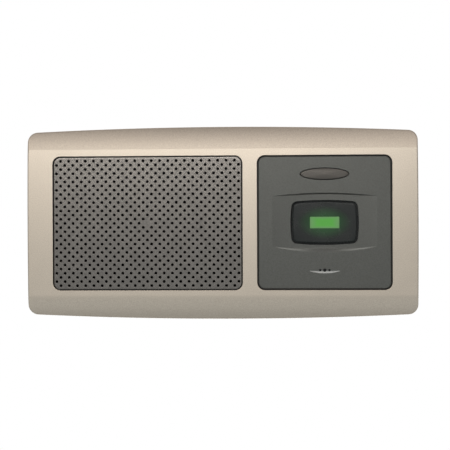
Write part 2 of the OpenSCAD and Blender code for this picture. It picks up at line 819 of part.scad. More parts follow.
module rear_housing() {
  knockout = [16, housing_wall / 2, back_edge_z - housing_back - 1.5];
  color([0.2, 0.2, 0.21]) on_wall() difference() {
    union() {
      difference() {
        slab(0, rim_z) polygon(frame_outline(lap_inset));
        slab(housing_back, rim_z + bite) polygon(frame_outline(lap_inset + housing_wall));
      }
      for (x = [-case_screw_x, case_screw_x])
        translate([x - case_boss_w / 2, -edge_y(x, lap_inset + housing_wall / 2), back_edge_z - 0.5])
          cube([case_boss_w, housing_wall / 2 + insert_len + 1.5, rim_z - back_edge_z + 0.5]);
      for (x = [-fixing_step / 2, fixing_step / 2])
        translate([x, 0, 0]) rod(fixing_d + 7, housing_back / 2, housing_back + 1.5);
    }
    for (x = [-fixing_step / 2, fixing_step / 2])
      translate([x, 0, 0]) rod(fixing_d, -bite, housing_back + 1.5 + bite);
    translate([cable_x, cable_y, 0]) {
      rod(2 * grommet_r, -bite, housing_back + bite);
      rod(2 * (grommet_r + grommet_flange + slip), -bite, grommet_flange_t);
    }
    for (x = [-case_screw_x, case_screw_x]) case_screw_axis(x) {
      rod(case_screw_d + 2 * slip, 0, skirt_wall + slip + housing_wall + insert_len + bite);
      rod(insert_nut_d, skirt_wall + slip + housing_wall - bite / 2,
        skirt_wall + slip + housing_wall + insert_len);
    }
    for (x = [-hook_x, hook_x])
      translate([x - hook_w / 2 - slip, edge_y(x, lap_inset + 2 * housing_wall),
        lap_mid_z - hook_t / 2 - slip])
        cube([hook_w + 2 * slip, 3 * housing_wall, hook_t + 2 * slip]);
    for (side = [-1, 1])
      translate([cable_x - knockout.x / 2,
        side > 0 ? edge_y(cable_x, lap_inset + knockout.y) : -frame_h / 2, housing_back])
        cube([knockout.x, frame_h / 2 - edge_y(cable_x, lap_inset + knockout.y), knockout.z]);
  }
}

module cable_grommet() {
  inner = housing_back + grommet_flange_t;
  color([0.06, 0.06, 0.06]) on_wall() translate([cable_x, cable_y, 0]) difference() {
    union() {
      rod(2 * (grommet_r + grommet_flange), seat_clear, grommet_flange_t);
      rod(2 * (grommet_r - glue_gap), seat_clear, inner);
      rod(2 * (grommet_r + grommet_flange), housing_back, inner);
    }
    rod(cable_d, -bite, inner + bite);
  }
}

module case_screws() {
  length = skirt_wall + slip + housing_wall + insert_len - 0.5;
  color([0.6, 0.6, 0.62]) on_wall() for (x = [-case_screw_x, case_screw_x]) case_screw_axis(x)
    difference() {
      union() {
        translate([0, 0, case_head_sink])
          cylinder(d1 = case_head_d, d2 = case_screw_d, h = case_head_t);
        rod(case_screw_d, case_head_sink + case_head_t - glue_gap, length);
      }
      translate([0, 0, case_head_sink - bite]) linear_extrude(bite + 0.8) {
        square([case_head_d * 0.55, 0.7], center = true);
        square([0.7, case_head_d * 0.55], center = true);
      }
    }
}

module case_inserts() {
  from = skirt_wall + slip + housing_wall;
  color([0.8, 0.65, 0.3]) on_wall() for (x = [-case_screw_x, case_screw_x]) case_screw_axis(x)
    difference() {
      rod(insert_nut_d - 2 * glue_gap, from, from + insert_len);
      rod(case_screw_d + 2 * thread_clear, from - bite, from + insert_len + bite);
    }
}

module on_speaker() {
  on_wall() translate([speaker_x, 0, 0]) children();
}

module speaker_basket() {
  hub_r = shelf_r - 3.2;
  bore_r = coil_r + 1.5;
  color([0.55, 0.56, 0.57]) on_speaker() difference() {
    union() {
      rotate_extrude() polygon([[basket_r, speaker_front_z], [basket_r + 1.5, speaker_front_z],
        [basket_r + 1, speaker_front_z - speaker_flange_t], [shelf_r + 0.4, shelf_z - basket_t],
        [hub_r + basket_t, shelf_z - basket_t], [hub_r + basket_t, basket_z - basket_t],
        [bore_r, basket_z - basket_t], [bore_r, basket_z], [hub_r, basket_z],
        [hub_r, shelf_z], [shelf_r, shelf_z], [basket_r, speaker_front_z - basket_t]]);
      slab(chassis_top_z, speaker_front_z) difference() {
        polygon(rounded_points(speaker_size, speaker_size, 6));
        circle(r = basket_r + 0.5);
      }
    }
    for (q = [45:90:315]) rotate(q)
      translate([shelf_r - 2, -6, shelf_z + basket_t])
        cube([basket_r, 12, speaker_front_z - shelf_z - 4]);
    four_corners(speaker_hole_at, speaker_hole_at)
      rod(screw_d + 2 * slip, chassis_top_z - bite, speaker_front_z + bite);
  }
}

module speaker_gasket() {
  top = insert_z - grille_skin - cloth_t;
  color([0.1, 0.1, 0.1]) on_speaker() slab(speaker_front_z + 0.3, top - seat_clear) difference() {
    circle(d = speaker_size - 0.5);
    circle(r = basket_r + 0.6);
  }
}

// Half-roll edge between the cone's rim and the flange
module speaker_surround() {
  film = 0.3;
  steps = 8;
  inner = [rim_r - 1.4, cone_rim_z + cone_t + glue_gap];
  from = [rim_r, inner.y];
  to = [basket_r + 0.2, speaker_front_z];
  roll = [for (i = [0:steps]) let (u = i / steps)
    from + (to - from) * u + [0, 0.9 * sin(180 * u)]];
  path = concat([inner], roll, [[basket_r + 2, to.y]]);
  color([0.08, 0.08, 0.08]) on_speaker() rotate_extrude()
    polygon(concat(path, reversed([for (p = path) p + [0, film]])));
}

module speaker_cone() {
  neck_r = coil_r + coil_t + glue_gap;
  color([0.16, 0.15, 0.14]) on_speaker() rotate_extrude()
    polygon([[neck_r, neck_z], [neck_r, neck_z + cone_t + 0.2],
      [rim_r - 1.6, cone_rim_z + cone_t], [rim_r, cone_rim_z + cone_t], [rim_r, cone_rim_z],
      [rim_r - 1.4, cone_rim_z]]);
}

function cone_front(r) =
  let (neck_r = coil_r + coil_t + glue_gap, rise = cone_rim_z - neck_z - 0.2)
  neck_z + cone_t + 0.2 + rise * (r - neck_r) / (rim_r - 1.6 - neck_r);

module speaker_dust_cap() {
  skin = 0.4;
  ball_r = arc_r(cap_r, cap_rise);
  base = cone_front(cap_r) + glue_gap;
  centre = [0, base + cap_rise - ball_r];
  outer = arc_points(centre, ball_r, asin((ball_r - cap_rise) / ball_r), 90, 8);
  inner = arc_points(centre, ball_r - skin, 90, asin((ball_r - cap_rise) / (ball_r - skin)), 8);
  color([0.12, 0.12, 0.12]) on_speaker() rotate_extrude() polygon(concat(outer, inner));
}

module voice_coil() {
  color([0.72, 0.45, 0.2]) on_speaker() difference() {
    rod(2 * (coil_r + coil_t), magnet_top_z - coil_overhang - cone_travel, neck_z + 0.9);
    rod(coil_d, magnet_z, neck_z + 0.9 + bite);
  }
}

// Corrugated disc that centres the voice coil
module speaker_spider() {
  film = 0.3;
  steps = 24;
  waves = 3;
  from = [coil_r + coil_t + glue_gap, neck_z - 0.7];
  to = [shelf_r - 3.4, shelf_z + glue_gap];
  path = concat([for (i = [0:steps]) let (u = i / steps)
    from + (to - from) * u + [0, 0.25 * sin(360 * waves * u)]], [[shelf_r - 0.4, to.y]]);
  color([0.75, 0.6, 0.3]) on_speaker() rotate_extrude()
    polygon(concat(path, reversed([for (p = path) p + [0, film]])));
}

module speaker_top_plate() {
  color([0.6, 0.61, 0.62]) on_speaker() difference() {
    rod(magnet_d - 3, magnet_top_z, magnet_top_z + top_plate_t);
    rod(2 * (coil_r + coil_t + gap_clear), magnet_top_z - bite, magnet_top_z + top_plate_t + bite);
  }
}

module speaker_magnet() {
  color([0.2, 0.2, 0.21]) on_speaker() difference() {
    rod(magnet_d, magnet_z, magnet_top_z);
    rod(coil_d + 4, magnet_z - bite, magnet_top_z + bite);
  }
}

module speaker_yoke() {
  color([0.62, 0.63, 0.64]) on_speaker() {
    rod(magnet_d - 2, magnet_z - yoke_t, magnet_z);
    rod(coil_d - 2 * gap_clear, magnet_z - yoke_t / 2, magnet_top_z + top_plate_t);
  }
}

module speaker_tag_board() {
  color([0.55, 0.36, 0.2]) on_speaker()
    translate([shelf_r - 2, -tag_step, tag_board_z])
      cube([tag_end_r - shelf_r, 2 * tag_step, tag_board_t]);
}

module speaker_tags() {
  color([0.8, 0.8, 0.78]) on_speaker() for (s = [-1, 1])
    translate([tag_end_r - tag_size.x, s * tag_step / 2 - tag_size.y / 2, tag_z]) cube(tag_size);
}

module speaker_screws() {
  color([0.7, 0.7, 0.72]) on_speaker() four_corners(speaker_hole_at, speaker_hole_at)
    translate([0, 0, speaker_front_z]) mirror([0, 0, 1])
      pan_screw(screw_d, screw_head_d, speaker_flange_t + chassis_t + speaker_post_h - bite / 2);
}

// Route of one speaker lead, from its tag to the plug; side is -1 or 1
function lead_route(side) =
  let (tag_x = speaker_x + tag_end_r, tag_y = side * tag_step / 2,
    level = tag_z + tag_size.z / 2, pin_y = plug_y + side * lead_step / 2)
  [[tag_x + slip, tag_y, level],
   [tag_x + lead_run, tag_y, level],
   [(tag_x + web_x) / 2 + lead_run, plug_y / 3 + side * lead_step / 2, (level + lead_z) / 2],
   [web_x + lead_run, plug_y - lead_run + side * lead_step / 2, lead_z + lead_d],
   [plug_x - 2 * lead_run, pin_y, lead_z],
   [plug_x - lead_run / 2, pin_y, lead_z],
   [plug_x, pin_y, (lead_z + plug_z) / 2],
   [plug_x, pin_y, plug_z - seat_clear]];

module speaker_leads() {
  color([0.6, 0.1, 0.1]) on_wall() for (side = [-1, 1])
    swept_tube(smooth_route(lead_route(side), 4), lead_d);
}

module speaker_plug() {
  color([0.9, 0.89, 0.84]) on_wall() translate([plug_x, plug_y, 0]) {
    plate(plug_size.x, plug_size.y, small_r, plug_z, plug_z + plug_size.z);
    translate([0, plug_size.y / 2, plug_z + plug_size.z / 2]) cube(plug_latch, center = true);
  }
}

module speaker_socket() {
  color([0.9, 0.89, 0.84]) on_wall() translate([plug_x, plug_y, 0])
    plate(socket_size.x, socket_size.y, small_r, board_back_z - socket_size.z, board_back_z);
}

module circuit_board() {
  color([0.1, 0.32, 0.2]) on_wall() translate([panel_x, 0, 0]) difference() {
    plate(board_w, board_h, 2, board_back_z, board_front_z);
    four_corners(board_hole_x, board_hole_y)
      rod(screw_d + 2 * slip, board_back_z - bite, board_front_z + bite);
  }
}

module board_screws() {
  color([0.7, 0.7, 0.72]) on_wall() translate([panel_x, 0, 0]) four_corners(board_hole_x, board_hole_y)
    translate([0, 0, board_back_z]) pan_screw(screw_d, screw_head_d, board_t + screw_bite);
}

module switch_body() {
  difference() {
    plate(switch_size, switch_size, small_r, board_front_z, switch_body_z);
    rod(plunger_d + 2 * slip, switch_body_z - plunger_well, switch_body_z + bite);
  }
}

module switch_plunger(travel) {
  rod(plunger_d, switch_body_z - plunger_well + travel + seat_clear, plunger_z);
}

module at_call_switches() {
  for (s = [-1, 1]) translate([panel_x + s * post_x, 0, 0]) children();
}

module call_switches() {
  color([0.12, 0.12, 0.12]) on_wall() at_call_switches() switch_body();
}

module call_plungers() {
  color([0.85, 0.85, 0.82]) on_wall() at_call_switches() switch_plunger(call_travel);
}

module oval_switch() {
  color([0.12, 0.12, 0.12]) on_wall() translate([panel_x, oval_rise, 0]) switch_body();
}

module oval_plunger() {
  color([0.85, 0.85, 0.82]) on_wall() translate([panel_x, oval_rise, 0])
    switch_plunger(oval_travel);
}

module call_lamps() {
  color([0.3, 0.75, 0.3]) on_wall() for (s = [-1, 1])
    translate([panel_x + s * lamp_x, 0, board_front_z]) rotate_extrude()
      polygon(concat([[0, 0], [lamp_d / 2 + lamp_rim, 0], [lamp_d / 2 + lamp_rim, lamp_rim_t],
        [lamp_d / 2, lamp_rim_t]], arc_points([0, lamp_body], lamp_d / 2, 0, 90, 6)));
}

module microphone() {
  top = panel_back_z - capsule_set_back;
  color([0.72, 0.72, 0.72]) on_wall() translate([panel_x, -mic_drop, 0]) {
    rod(capsule_d, top - capsule_t, top);
    for (s = [-1, 1]) translate([s * capsule_pin_x, 0, 0])
      rod(capsule_pin_d, board_front_z, top - capsule_t + bite / 2);
  }
}

module microphone_boot() {
  color([0.07, 0.07, 0.07]) on_wall() translate([panel_x, -mic_drop, 0]) difference() {
    rod(boot_d, board_front_z, panel_back_z);
    rod(capsule_d + 2 * glue_gap, board_front_z - bite, panel_back_z + bite);
  }
}

module at_terminals() {
  for (k = [0:terminal_ways - 1])
    translate([terminal_x, (k - (terminal_ways - 1) / 2) * terminal_step, 0]) children();
}

module terminal_block() {
  color([0.15, 0.4, 0.25]) on_wall() difference() {
    translate([terminal_x, 0, 0])
      plate(terminal_w, terminal_ways * terminal_step, small_r, board_back_z - terminal_t, board_back_z);
    at_terminals() {
      translate([terminal_w / 10, 0, 0]) rod(terminal_screw_d + slip,
        board_back_z - terminal_t - bite, board_back_z - terminal_t + terminal_well);
      translate([-terminal_w / 2, 0, board_back_z - terminal_mouth.y - bite / 2])
        cube([terminal_w, terminal_mouth.x, terminal_mouth.y], center = true);
    }
  }
}

module terminal_screws() {
  seat = board_back_z - terminal_t + terminal_well;
  slot = [terminal_screw_d * 0.8, terminal_screw_d / 5, terminal_screw_t * 0.6];
  color([0.75, 0.75, 0.74]) on_wall() at_terminals() translate([terminal_w / 10, 0, 0]) difference() {
    rod(terminal_screw_d, seat - terminal_screw_t, seat);
    translate([0, 0, seat - terminal_screw_t]) cube(slot, center = true);
  }
}

module transformer_core() {
  color([0.35, 0.35, 0.37]) on_wall() translate([column_x, transformer_y, 0])
    slab(board_back_z - transformer_t + coil_flange, board_back_z - core_seat) difference() {
      square(core_size, center = true);
      for (s = [-1, 1]) translate([s * core_window_x, 0]) square(core_window, center = true);
    }
}

module transformer_coil() {
  leg = 2 * core_window_x - core_window.x + slip;
  color([0.75, 0.55, 0.15]) on_wall() translate([column_x, transformer_y, 0]) difference() {
    plate(coil_size.x, coil_size.y, small_r, board_back_z - transformer_t, board_back_z);
    slab(board_back_z - transformer_t + coil_flange - seat_clear, board_back_z - core_seat + seat_clear)
      square([leg, coil_size.y + 2 * bite], center = true);
  }
}

module relay() {
  color([0.9, 0.6, 0.2]) on_wall() translate([column_x, relay_y, 0])
    plate(relay_size.x, relay_size.y, 2 * small_r, board_back_z - relay_size.z, board_back_z);
}

module capacitors() {
  neck_r = capacitor_r - capacitor_bead;
  color([0.1, 0.12, 0.3]) on_wall() for (y = capacitor_y)
    translate([capacitor_x, y, board_back_z]) mirror([0, 0, 1]) rotate_extrude()
      polygon([[0, 0], [capacitor_r, 0], [capacitor_r, 3 * capacitor_bead],
        [neck_r, 4 * capacitor_bead], [neck_r, 5 * capacitor_bead], [capacitor_r, 6 * capacitor_bead],
        [capacitor_r, capacitor_t - small_r], [capacitor_r - small_r, capacitor_t], [0, capacitor_t]]);
}

module amplifier_chip() {
  color([0.08, 0.08, 0.08]) on_wall() translate([capacitor_x, chip_y, board_back_z - chip_lift]) {
    plate(chip_size.x, chip_size.y, small_r, -chip_size.z, 0);
    for (k = [-1.5:1.5], s = [-1, 1])
      translate([k * chip_pin_step, s * (chip_size.y / 2 + 0.2), chip_lift - chip_pin.z / 2])
        cube(chip_pin, center = true);
  }
}

front_frame();
speaker_grille();
grille_cloth();
control_panel();
call_button();
call_window();
oval_button();
inner_chassis();
chassis_screws();
rear_housing();
cable_grommet();
case_screws();
case_inserts();
speaker_basket();
speaker_gasket();
speaker_surround();
speaker_cone();
speaker_dust_cap();
voice_coil();
speaker_spider();
speaker_top_plate();
speaker_magnet();
speaker_yoke();
speaker_tag_board();
speaker_tags();
speaker_screws();
speaker_leads();
speaker_plug();
speaker_socket();
circuit_board();
board_screws();
call_switches();
call_plungers();
oval_switch();
oval_plunger();
call_lamps();
microphone();
microphone_boot();
terminal_block();
terminal_screws();
transformer_core();
transformer_coil();
relay();
capacitors();
amplifier_chip();
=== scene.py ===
"""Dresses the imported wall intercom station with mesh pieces, finishes, light and a camera."""

import json
import math

import bmesh
import bpy
import numpy as np
from mathutils import Matrix, Vector
from mathutils.geometry import delaunay_2d_cdt

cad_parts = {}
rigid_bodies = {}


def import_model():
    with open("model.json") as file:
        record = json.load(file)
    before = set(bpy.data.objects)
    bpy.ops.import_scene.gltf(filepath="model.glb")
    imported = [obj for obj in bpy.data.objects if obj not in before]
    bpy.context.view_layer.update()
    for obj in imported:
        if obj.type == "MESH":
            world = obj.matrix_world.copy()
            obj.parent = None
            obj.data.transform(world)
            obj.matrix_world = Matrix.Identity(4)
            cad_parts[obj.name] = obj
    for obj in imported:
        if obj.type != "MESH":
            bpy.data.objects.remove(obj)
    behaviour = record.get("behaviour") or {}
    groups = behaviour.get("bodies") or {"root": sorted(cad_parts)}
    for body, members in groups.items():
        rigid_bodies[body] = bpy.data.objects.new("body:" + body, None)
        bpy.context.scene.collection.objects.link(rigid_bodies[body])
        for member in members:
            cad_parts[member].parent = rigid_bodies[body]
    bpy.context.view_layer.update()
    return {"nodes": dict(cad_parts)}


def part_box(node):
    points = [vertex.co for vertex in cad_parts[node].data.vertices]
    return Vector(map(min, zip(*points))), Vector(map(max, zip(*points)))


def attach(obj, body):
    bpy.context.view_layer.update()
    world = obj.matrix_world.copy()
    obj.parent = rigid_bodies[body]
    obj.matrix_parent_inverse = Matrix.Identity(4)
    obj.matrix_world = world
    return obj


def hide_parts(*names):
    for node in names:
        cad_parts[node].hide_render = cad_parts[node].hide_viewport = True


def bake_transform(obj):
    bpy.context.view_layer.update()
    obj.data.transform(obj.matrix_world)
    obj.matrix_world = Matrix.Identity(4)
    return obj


bl_info = {
    "name": "Wall intercom station",
    "version": (1, 0, 0),
    "blender": (4, 5, 0),
    "location": "View3D > Sidebar > Intercom",
    "description": "Builds the pieces, finishes and stage of a wall intercom station",
    "category": "Object",
}

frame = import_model()

MM = 0.001
# Steps round a corner and over a rounded edge
CORNER_STEPS = 8
ROUND_STEPS = 4
# Points nearer than this are one, in a finished mesh and in a fill
WELD = 1e-7
SAME_POINT = 1e-9
# Least squared length of an edge and least area of a triangle that count
NO_LENGTH = 1e-18
SLIVER = 1e-11
# Edges that turn by more than this many degrees stay sharp
SHARP = 32
# Stands the plan up on the wall: x, y and height become x, minus the height, y
UPRIGHT = Matrix.Rotation(math.pi / 2, 4, "X")
# Finish of the front frame, which the stage also asks for
LACQUER = "champagne_metallic_lacquer_on_abs"


# Settings


def linear(code):
    """Linear RGBA of an sRGB hex colour."""
    parts = [int(code[k : k + 2], 16) / 255 for k in (1, 3, 5)]
    return [p / 12.92 if p <= 0.04045 else ((p + 0.055) / 1.055) ** 2.4 for p in parts] + [1.0]


def length(title, text, millimetres):
    return bpy.props.FloatProperty(
        name=title, description=text, default=millimetres * MM, unit="LENGTH", precision=5
    )


def number(title, text, value, subtype="NONE"):
    return bpy.props.FloatProperty(name=title, description=text, default=value, subtype=subtype)


def tint(title, text, code):
    return bpy.props.FloatVectorProperty(
        name=title, description=text, default=linear(code), size=4, min=0, max=1, subtype="COLOR"
    )


class FrameSizes(bpy.types.PropertyGroup):
    """Sizes of the front frame."""

    width: length("Width", "Width at mid height", 176.2)
    height: length("Height", "Height at mid width", 86.5)
    depth: length("Depth", "From the wall to the flat front", 32)
    edge_bow: length("Edge bow", "How far the top and bottom edges bow out", 2.2)
    end_bow: length("End bow", "How far the two ends bow out", 0.3)
    corner: length("Corner", "Radius of the outer corners", 4.5)
    skirt_depth: length("Skirt depth", "Depth of the skirt behind the flat front", 20)
    skirt_wall: length("Skirt wall", "Thickness of the skirt", 2.2)
    front_wall: length("Front wall", "Thickness of the front", 2.5)
    crease_drop: length("Crease drop", "From the top edge down to the crease", 9.95)
    crease_angle: number("Crease angle", "Slope of the top band at the crease", math.radians(7.4), "ANGLE")
    top_angle: number("Top angle", "Slope of the top band at the top edge", math.radians(18.5), "ANGLE")
    bottom_roll: length("Bottom roll", "Radius of the roll along the bottom", 20)
    bottom_run: length("Bottom run", "From the bottom edge to the start of its roll", 10.9)
    edge_round: length("Edge round", "Rounding of the outer front edge", 0.6)
    opening_height: length("Opening height", "Height of both openings", 60.5)
    grille_opening: length("Grille opening", "Width of the grille opening", 86)
    panel_opening: length("Panel opening", "Width of the panel opening", 60.5)
    web: length("Web", "Width of the web between the openings", 6.5)
    opening_corner: length("Opening corner", "Corner radius of the openings", 3.5)
    opening_round: length("Opening round", "Rounding of the openings' edges", 0.12)
    boss_inset: length("Boss inset", "From the ends to the outer screw bosses", 24)
    boss: length("Boss", "Diameter of the screw bosses", 6)


class InsertSizes(bpy.types.PropertyGroup):
    """Sizes that the grille and the control panel share, and those of the grille."""

    gap: length("Gap", "Gap line around each insert", 0.5)
    set_back: length("Set-back", "Of the inserts behind the flat front", 0.3)
    flange: length("Flange", "Width of the flange behind the opening's edge", 2)
    flange_thickness: length("Flange thickness", "Thickness of the flange", 1.2)
    skin: length("Skin", "Thickness of the perforated skin", 1.2)
    wall: length("Wall", "Thickness of the grille's side wall", 0.6)
    rim: length("Rim", "Thickness of that wall where it clears the outer holes", 0.3)
    rim_corner: length("Rim corner", "Corner radius of the hollow inside that wall", 2)
    edge_round: length("Edge round", "Rounding of the grille's front edge", 0.25)
    hole: length("Hole", "Diameter of the sound holes", 1.25)
    hole_round: length("Hole round", "Eased edge of the sound holes", 0.08)
    step: length("Step", "Half the spacing of the holes along a row", 1.875)
    cloth_gap: length("Cloth gap", "From the cloth's edge to the grille's wall", 0.2)
    cloth_drop: length("Cloth drop", "From the skin to the middle of the cloth", 0.15)


class PanelSizes(bpy.types.PropertyGroup):
    """Sizes of the control panel."""

    thickness: length("Thickness", "Thickness of the panel's plate", 2.2)
    edge_round: length("Edge round", "Rounding of the panel's front edge", 0.6)
    hole_round: length("Hole round", "Rounding of the button openings", 0.15)
    dish_depth: length("Dish depth", "Depth of the dished band at its middle", 0.6)
    dish_half: length("Dish half width", "Half the width of the dished band", 23.4)
    dish_top: length("Dish top", "Top of the band above the middle", 13.3)
    dish_top_radius: length("Dish top radius", "Radius of the upper edge", 190)
    dish_bottom: length("Dish bottom", "Bottom of the band below the middle", 13.2)
    dish_bottom_radius: length("Dish bottom radius", "Radius of the lower edge", 114)
    dish_ramp: length("Dish ramp", "Run of the ramp along the lower edge", 1.0)
    dish_step: length("Dish step", "Run of the step along the upper edge", 0.32)
    dish_groove: length("Dish groove", "Depth of the groove below that step", 0.25)
    mic_drop: length("Microphone drop", "Holes below the middle", 21.35)
    mic_hole: length("Microphone hole", "Diameter of the middle hole", 1.55)
    mic_side_hole: length("Outer microphone holes", "Diameter of the outer holes", 1.1)
    mic_step: length("Microphone step", "Spacing of the holes", 2.05)
    scoop_drop: length("Scoop drop", "Scoop's top edge below the holes' middle", 0.2)
    scoop_width: length("Scoop width", "Width of the scoop", 13.8)
    scoop_height: length("Scoop height", "Height of the scoop", 1.15)
    scoop_depth: length("Scoop depth", "Depth along the top edge", 0.5)
    collar: length("Collar", "Thickness of the call button's collar", 1.5)
    collar_depth: length("Collar depth", "Depth of that collar behind the plate", 3.5)
    oval_collar: length("Oval collar", "Thickness of the oval button's collar", 1)
    oval_collar_depth: length("Oval collar depth", "Depth of that collar", 1.6)


class ButtonSizes(bpy.types.PropertyGroup):
    """Sizes of the call button, its window and the oval button."""

    call_width: length("Call width", "Width of the call cap", 28.6)
    call_height: length("Call height", "Height of the call cap", 18.2)
    call_bow: length("Call bow", "How far the cap's sides bow out", 0.75)
    call_corner: length("Call corner", "Corner radius of the cap", 1.6)
    call_gap: length("Call gap", "Gap between the cap and the panel", 0.9)
    call_sink: length("Call sink", "Cap's face behind the panel's face", 0.1)
    call_top: length("Call top", "Thickness of the cap's top", 1.6)
    call_wall: length("Call wall", "Thickness of the cap's sides", 1.4)
    call_round: length("Call round", "Rounding of the cap's front edge", 0.45)
    window_width: length("Window width", "Width of the lit window", 13.2)
    window_height: length("Window height", "Height of the lit window", 5.2)
    window_corner: length("Window corner", "Corner radius of the window", 0.4)
    window_flange: length("Window flange", "Flange of the lens behind the cap", 0.9)
    window_flange_thickness: length("Window flange thickness", "Thickness of it", 0.8)
    oval_width: length("Oval width", "Length of the oval cap", 21.4)
    oval_height: length("Oval height", "Height of the oval cap", 4.85)
    oval_gap: length("Oval gap", "Gap between the oval cap and the panel", 0.35)
    oval_rise: length("Oval rise", "Oval above the panel's middle", 21.75)
    oval_crown: length("Oval crown", "Crown above the panel's face", 0.3)
    oval_side_drop: length("Oval side drop", "Fall of the crown to its long sides", 0.22)
    oval_end_drop: length("Oval end drop", "Fall of the crown to its ends", 0.4)
    lip: length("Lip", "Thickness of the retaining lips", 1.2)
    lip_hold: length("Lip hold", "How far a lip reaches behind the panel", 0.6)
    play: length("Play", "Clearance between a lip and its collar", 0.1)
    post: length("Post", "Diameter of the posts on the switches", 3)
    foot: length("Foot", "Height of the posts' feet above the wall", 26.5)


class HousingSizes(bpy.types.PropertyGroup):
    """Sizes of the rear housing, its grommet and the case screws."""

    lap: length("Lap", "Gap between the skirt and the housing", 0.2)
    wall: length("Wall", "Thickness of the sides", 2)
    back: length("Back", "Thickness of the back", 2.5)
    rim: length("Rim", "Height of the rim above the wall", 18.5)
    edge_round: length("Edge round", "Rounding of the back edge", 0.8)
    fixing_step: length("Fixing step", "Spacing of the wall box screws", 120.6)
    fixing: length("Fixing", "Diameter of the wall box holes", 4.2)
    cable: length("Cable", "Diameter of the cable hole", 10)
    cable_x: length("Cable x", "Cable hole to the right of the middle", 4)
    cable_y: length("Cable y", "Cable hole above the middle", -20)
    grommet: length("Grommet", "Radius of the hole that holds the grommet", 9)
    grommet_flange: length("Grommet flange", "Width of the grommet's flanges", 2)
    grommet_lip: length("Grommet lip", "Thickness of the grommet's flanges", 1.2)
    hook_x: length("Hook", "Hooks from the middle", 45)
    hook_width: length("Hook width", "Width of a hook", 10)
    hook_thickness: length("Hook thickness", "Thickness of a hook", 1.6)
    screw_x: length("Case screw", "Case screws from the middle", 50)
    screw: length("Screw", "Diameter of the case screws", 3)
    screw_head: length("Screw head", "Diameter of their heads", 5.4)
    screw_head_depth: length("Screw head depth", "Depth of the heads", 1.3)
    screw_sink: length("Screw sink", "Heads below the skirt's face", 0.2)
    insert: length("Insert", "Length of the threaded inserts", 5)


class FinishColours(bpy.types.PropertyGroup):
    """Main colours of the finishes."""

    champagne: tint("Champagne", "Lacquer of the front frame", "#DACDBC")
    champagne_flake: tint("Champagne flake", "Brighter flakes in the lacquer", "#EBDFCD")
    grille: tint("Grille", "Paint of the speaker grille", "#817D78")
    grille_flake: tint("Grille flake", "Brighter grains of that paint", "#98938D")
    panel: tint("Panel", "Plastic of the control panel", "#6A6B67")
    smoke: tint("Smoke", "Acrylic of the call cap", "#181C1A")
    lit: tint("Lit window", "Lit middle of the call window", "#57AA43")
    oval: tint("Oval", "Plastic of the oval button", "#6A6660")
    housing: tint("Housing", "Plastic of the rear housing", "#37373A")


class StageSettings(bpy.types.PropertyGroup):
    """Camera and light."""

    distance: length("Camera distance", "From the camera to the front", 800)
    side: length("Camera side", "Camera to the right of the middle", 60)
    view: length("View", "Width of the picture at the front", 202)
    aim_x: length("Aim x", "Point of the front at the picture's middle", 1.6)
    aim_z: length("Aim z", "Point of the front at the picture's middle", -0.95)
    roll: number("Camera roll", "Turn about the camera's line of sight", math.radians(-0.24), "ANGLE")
    floor: length("Floor", "Floor below the middle", 1650)
    key: number("Key light", "Strip light above the camera", 0.595, "POWER")
    top: number("Top light", "Soft box above", 3.6, "POWER")
    tent: number("Tent", "Brightness of the cloth round the front", 0.375)
    fill: number("Surroundings", "Brightness of the room for matt surfaces", 0.95)


class IntercomSettings(bpy.types.PropertyGroup):
    """All settings of the station."""

    frame: bpy.props.PointerProperty(type=FrameSizes, name="Frame")
    inserts: bpy.props.PointerProperty(type=InsertSizes, name="Inserts")
    panel: bpy.props.PointerProperty(type=PanelSizes, name="Panel")
    buttons: bpy.props.PointerProperty(type=ButtonSizes, name="Buttons")
    housing: bpy.props.PointerProperty(type=HousingSizes, name="Housing")
    colours: bpy.props.PointerProperty(type=FinishColours, name="Colours")
    stage: bpy.props.PointerProperty(type=StageSettings, name="Stage")


# Outlines, as lists of plan points: x to the right, y up the wall


def arc_radius(half, rise):
    return (half * half + rise * rise) / (2 * rise)


def arc(cx, cy, radius, start, end, steps):
    turns = [start + (end - start) * k / steps for k in range(steps + 1)]
    return [(cx + radius * math.cos(q), cy + radius * math.sin(q)) for q in turns]


def circle(radius, steps=48, cx=0.0, cy=0.0):
    return arc(cx, cy, radius, 0, 2 * math.pi, steps)[:-1]


def oval(width, height, steps=96, cy=0.0):
    turns = [2 * math.pi * k / steps for k in range(steps)]
    return [(width / 2 * math.cos(q), cy + height / 2 * math.sin(q)) for q in turns]


def rounded(width, height, radius, cx=0.0, steps=CORNER_STEPS):
    """Rectangle with round corners."""
    x, y = width / 2 - radius, height / 2 - radius
    corners = ((x, y, 0), (-x, y, 1), (-x, -y, 2), (x, -y, 3))
    turns = [arc(cx + u, v, radius, k * math.pi / 2, (k + 1) * math.pi / 2, steps) for u, v, k in corners]
    return [p for turn in turns for p in turn]


# Least radius of a corner that is drawn inset
LEAST_CORNER = 0.2 * MM


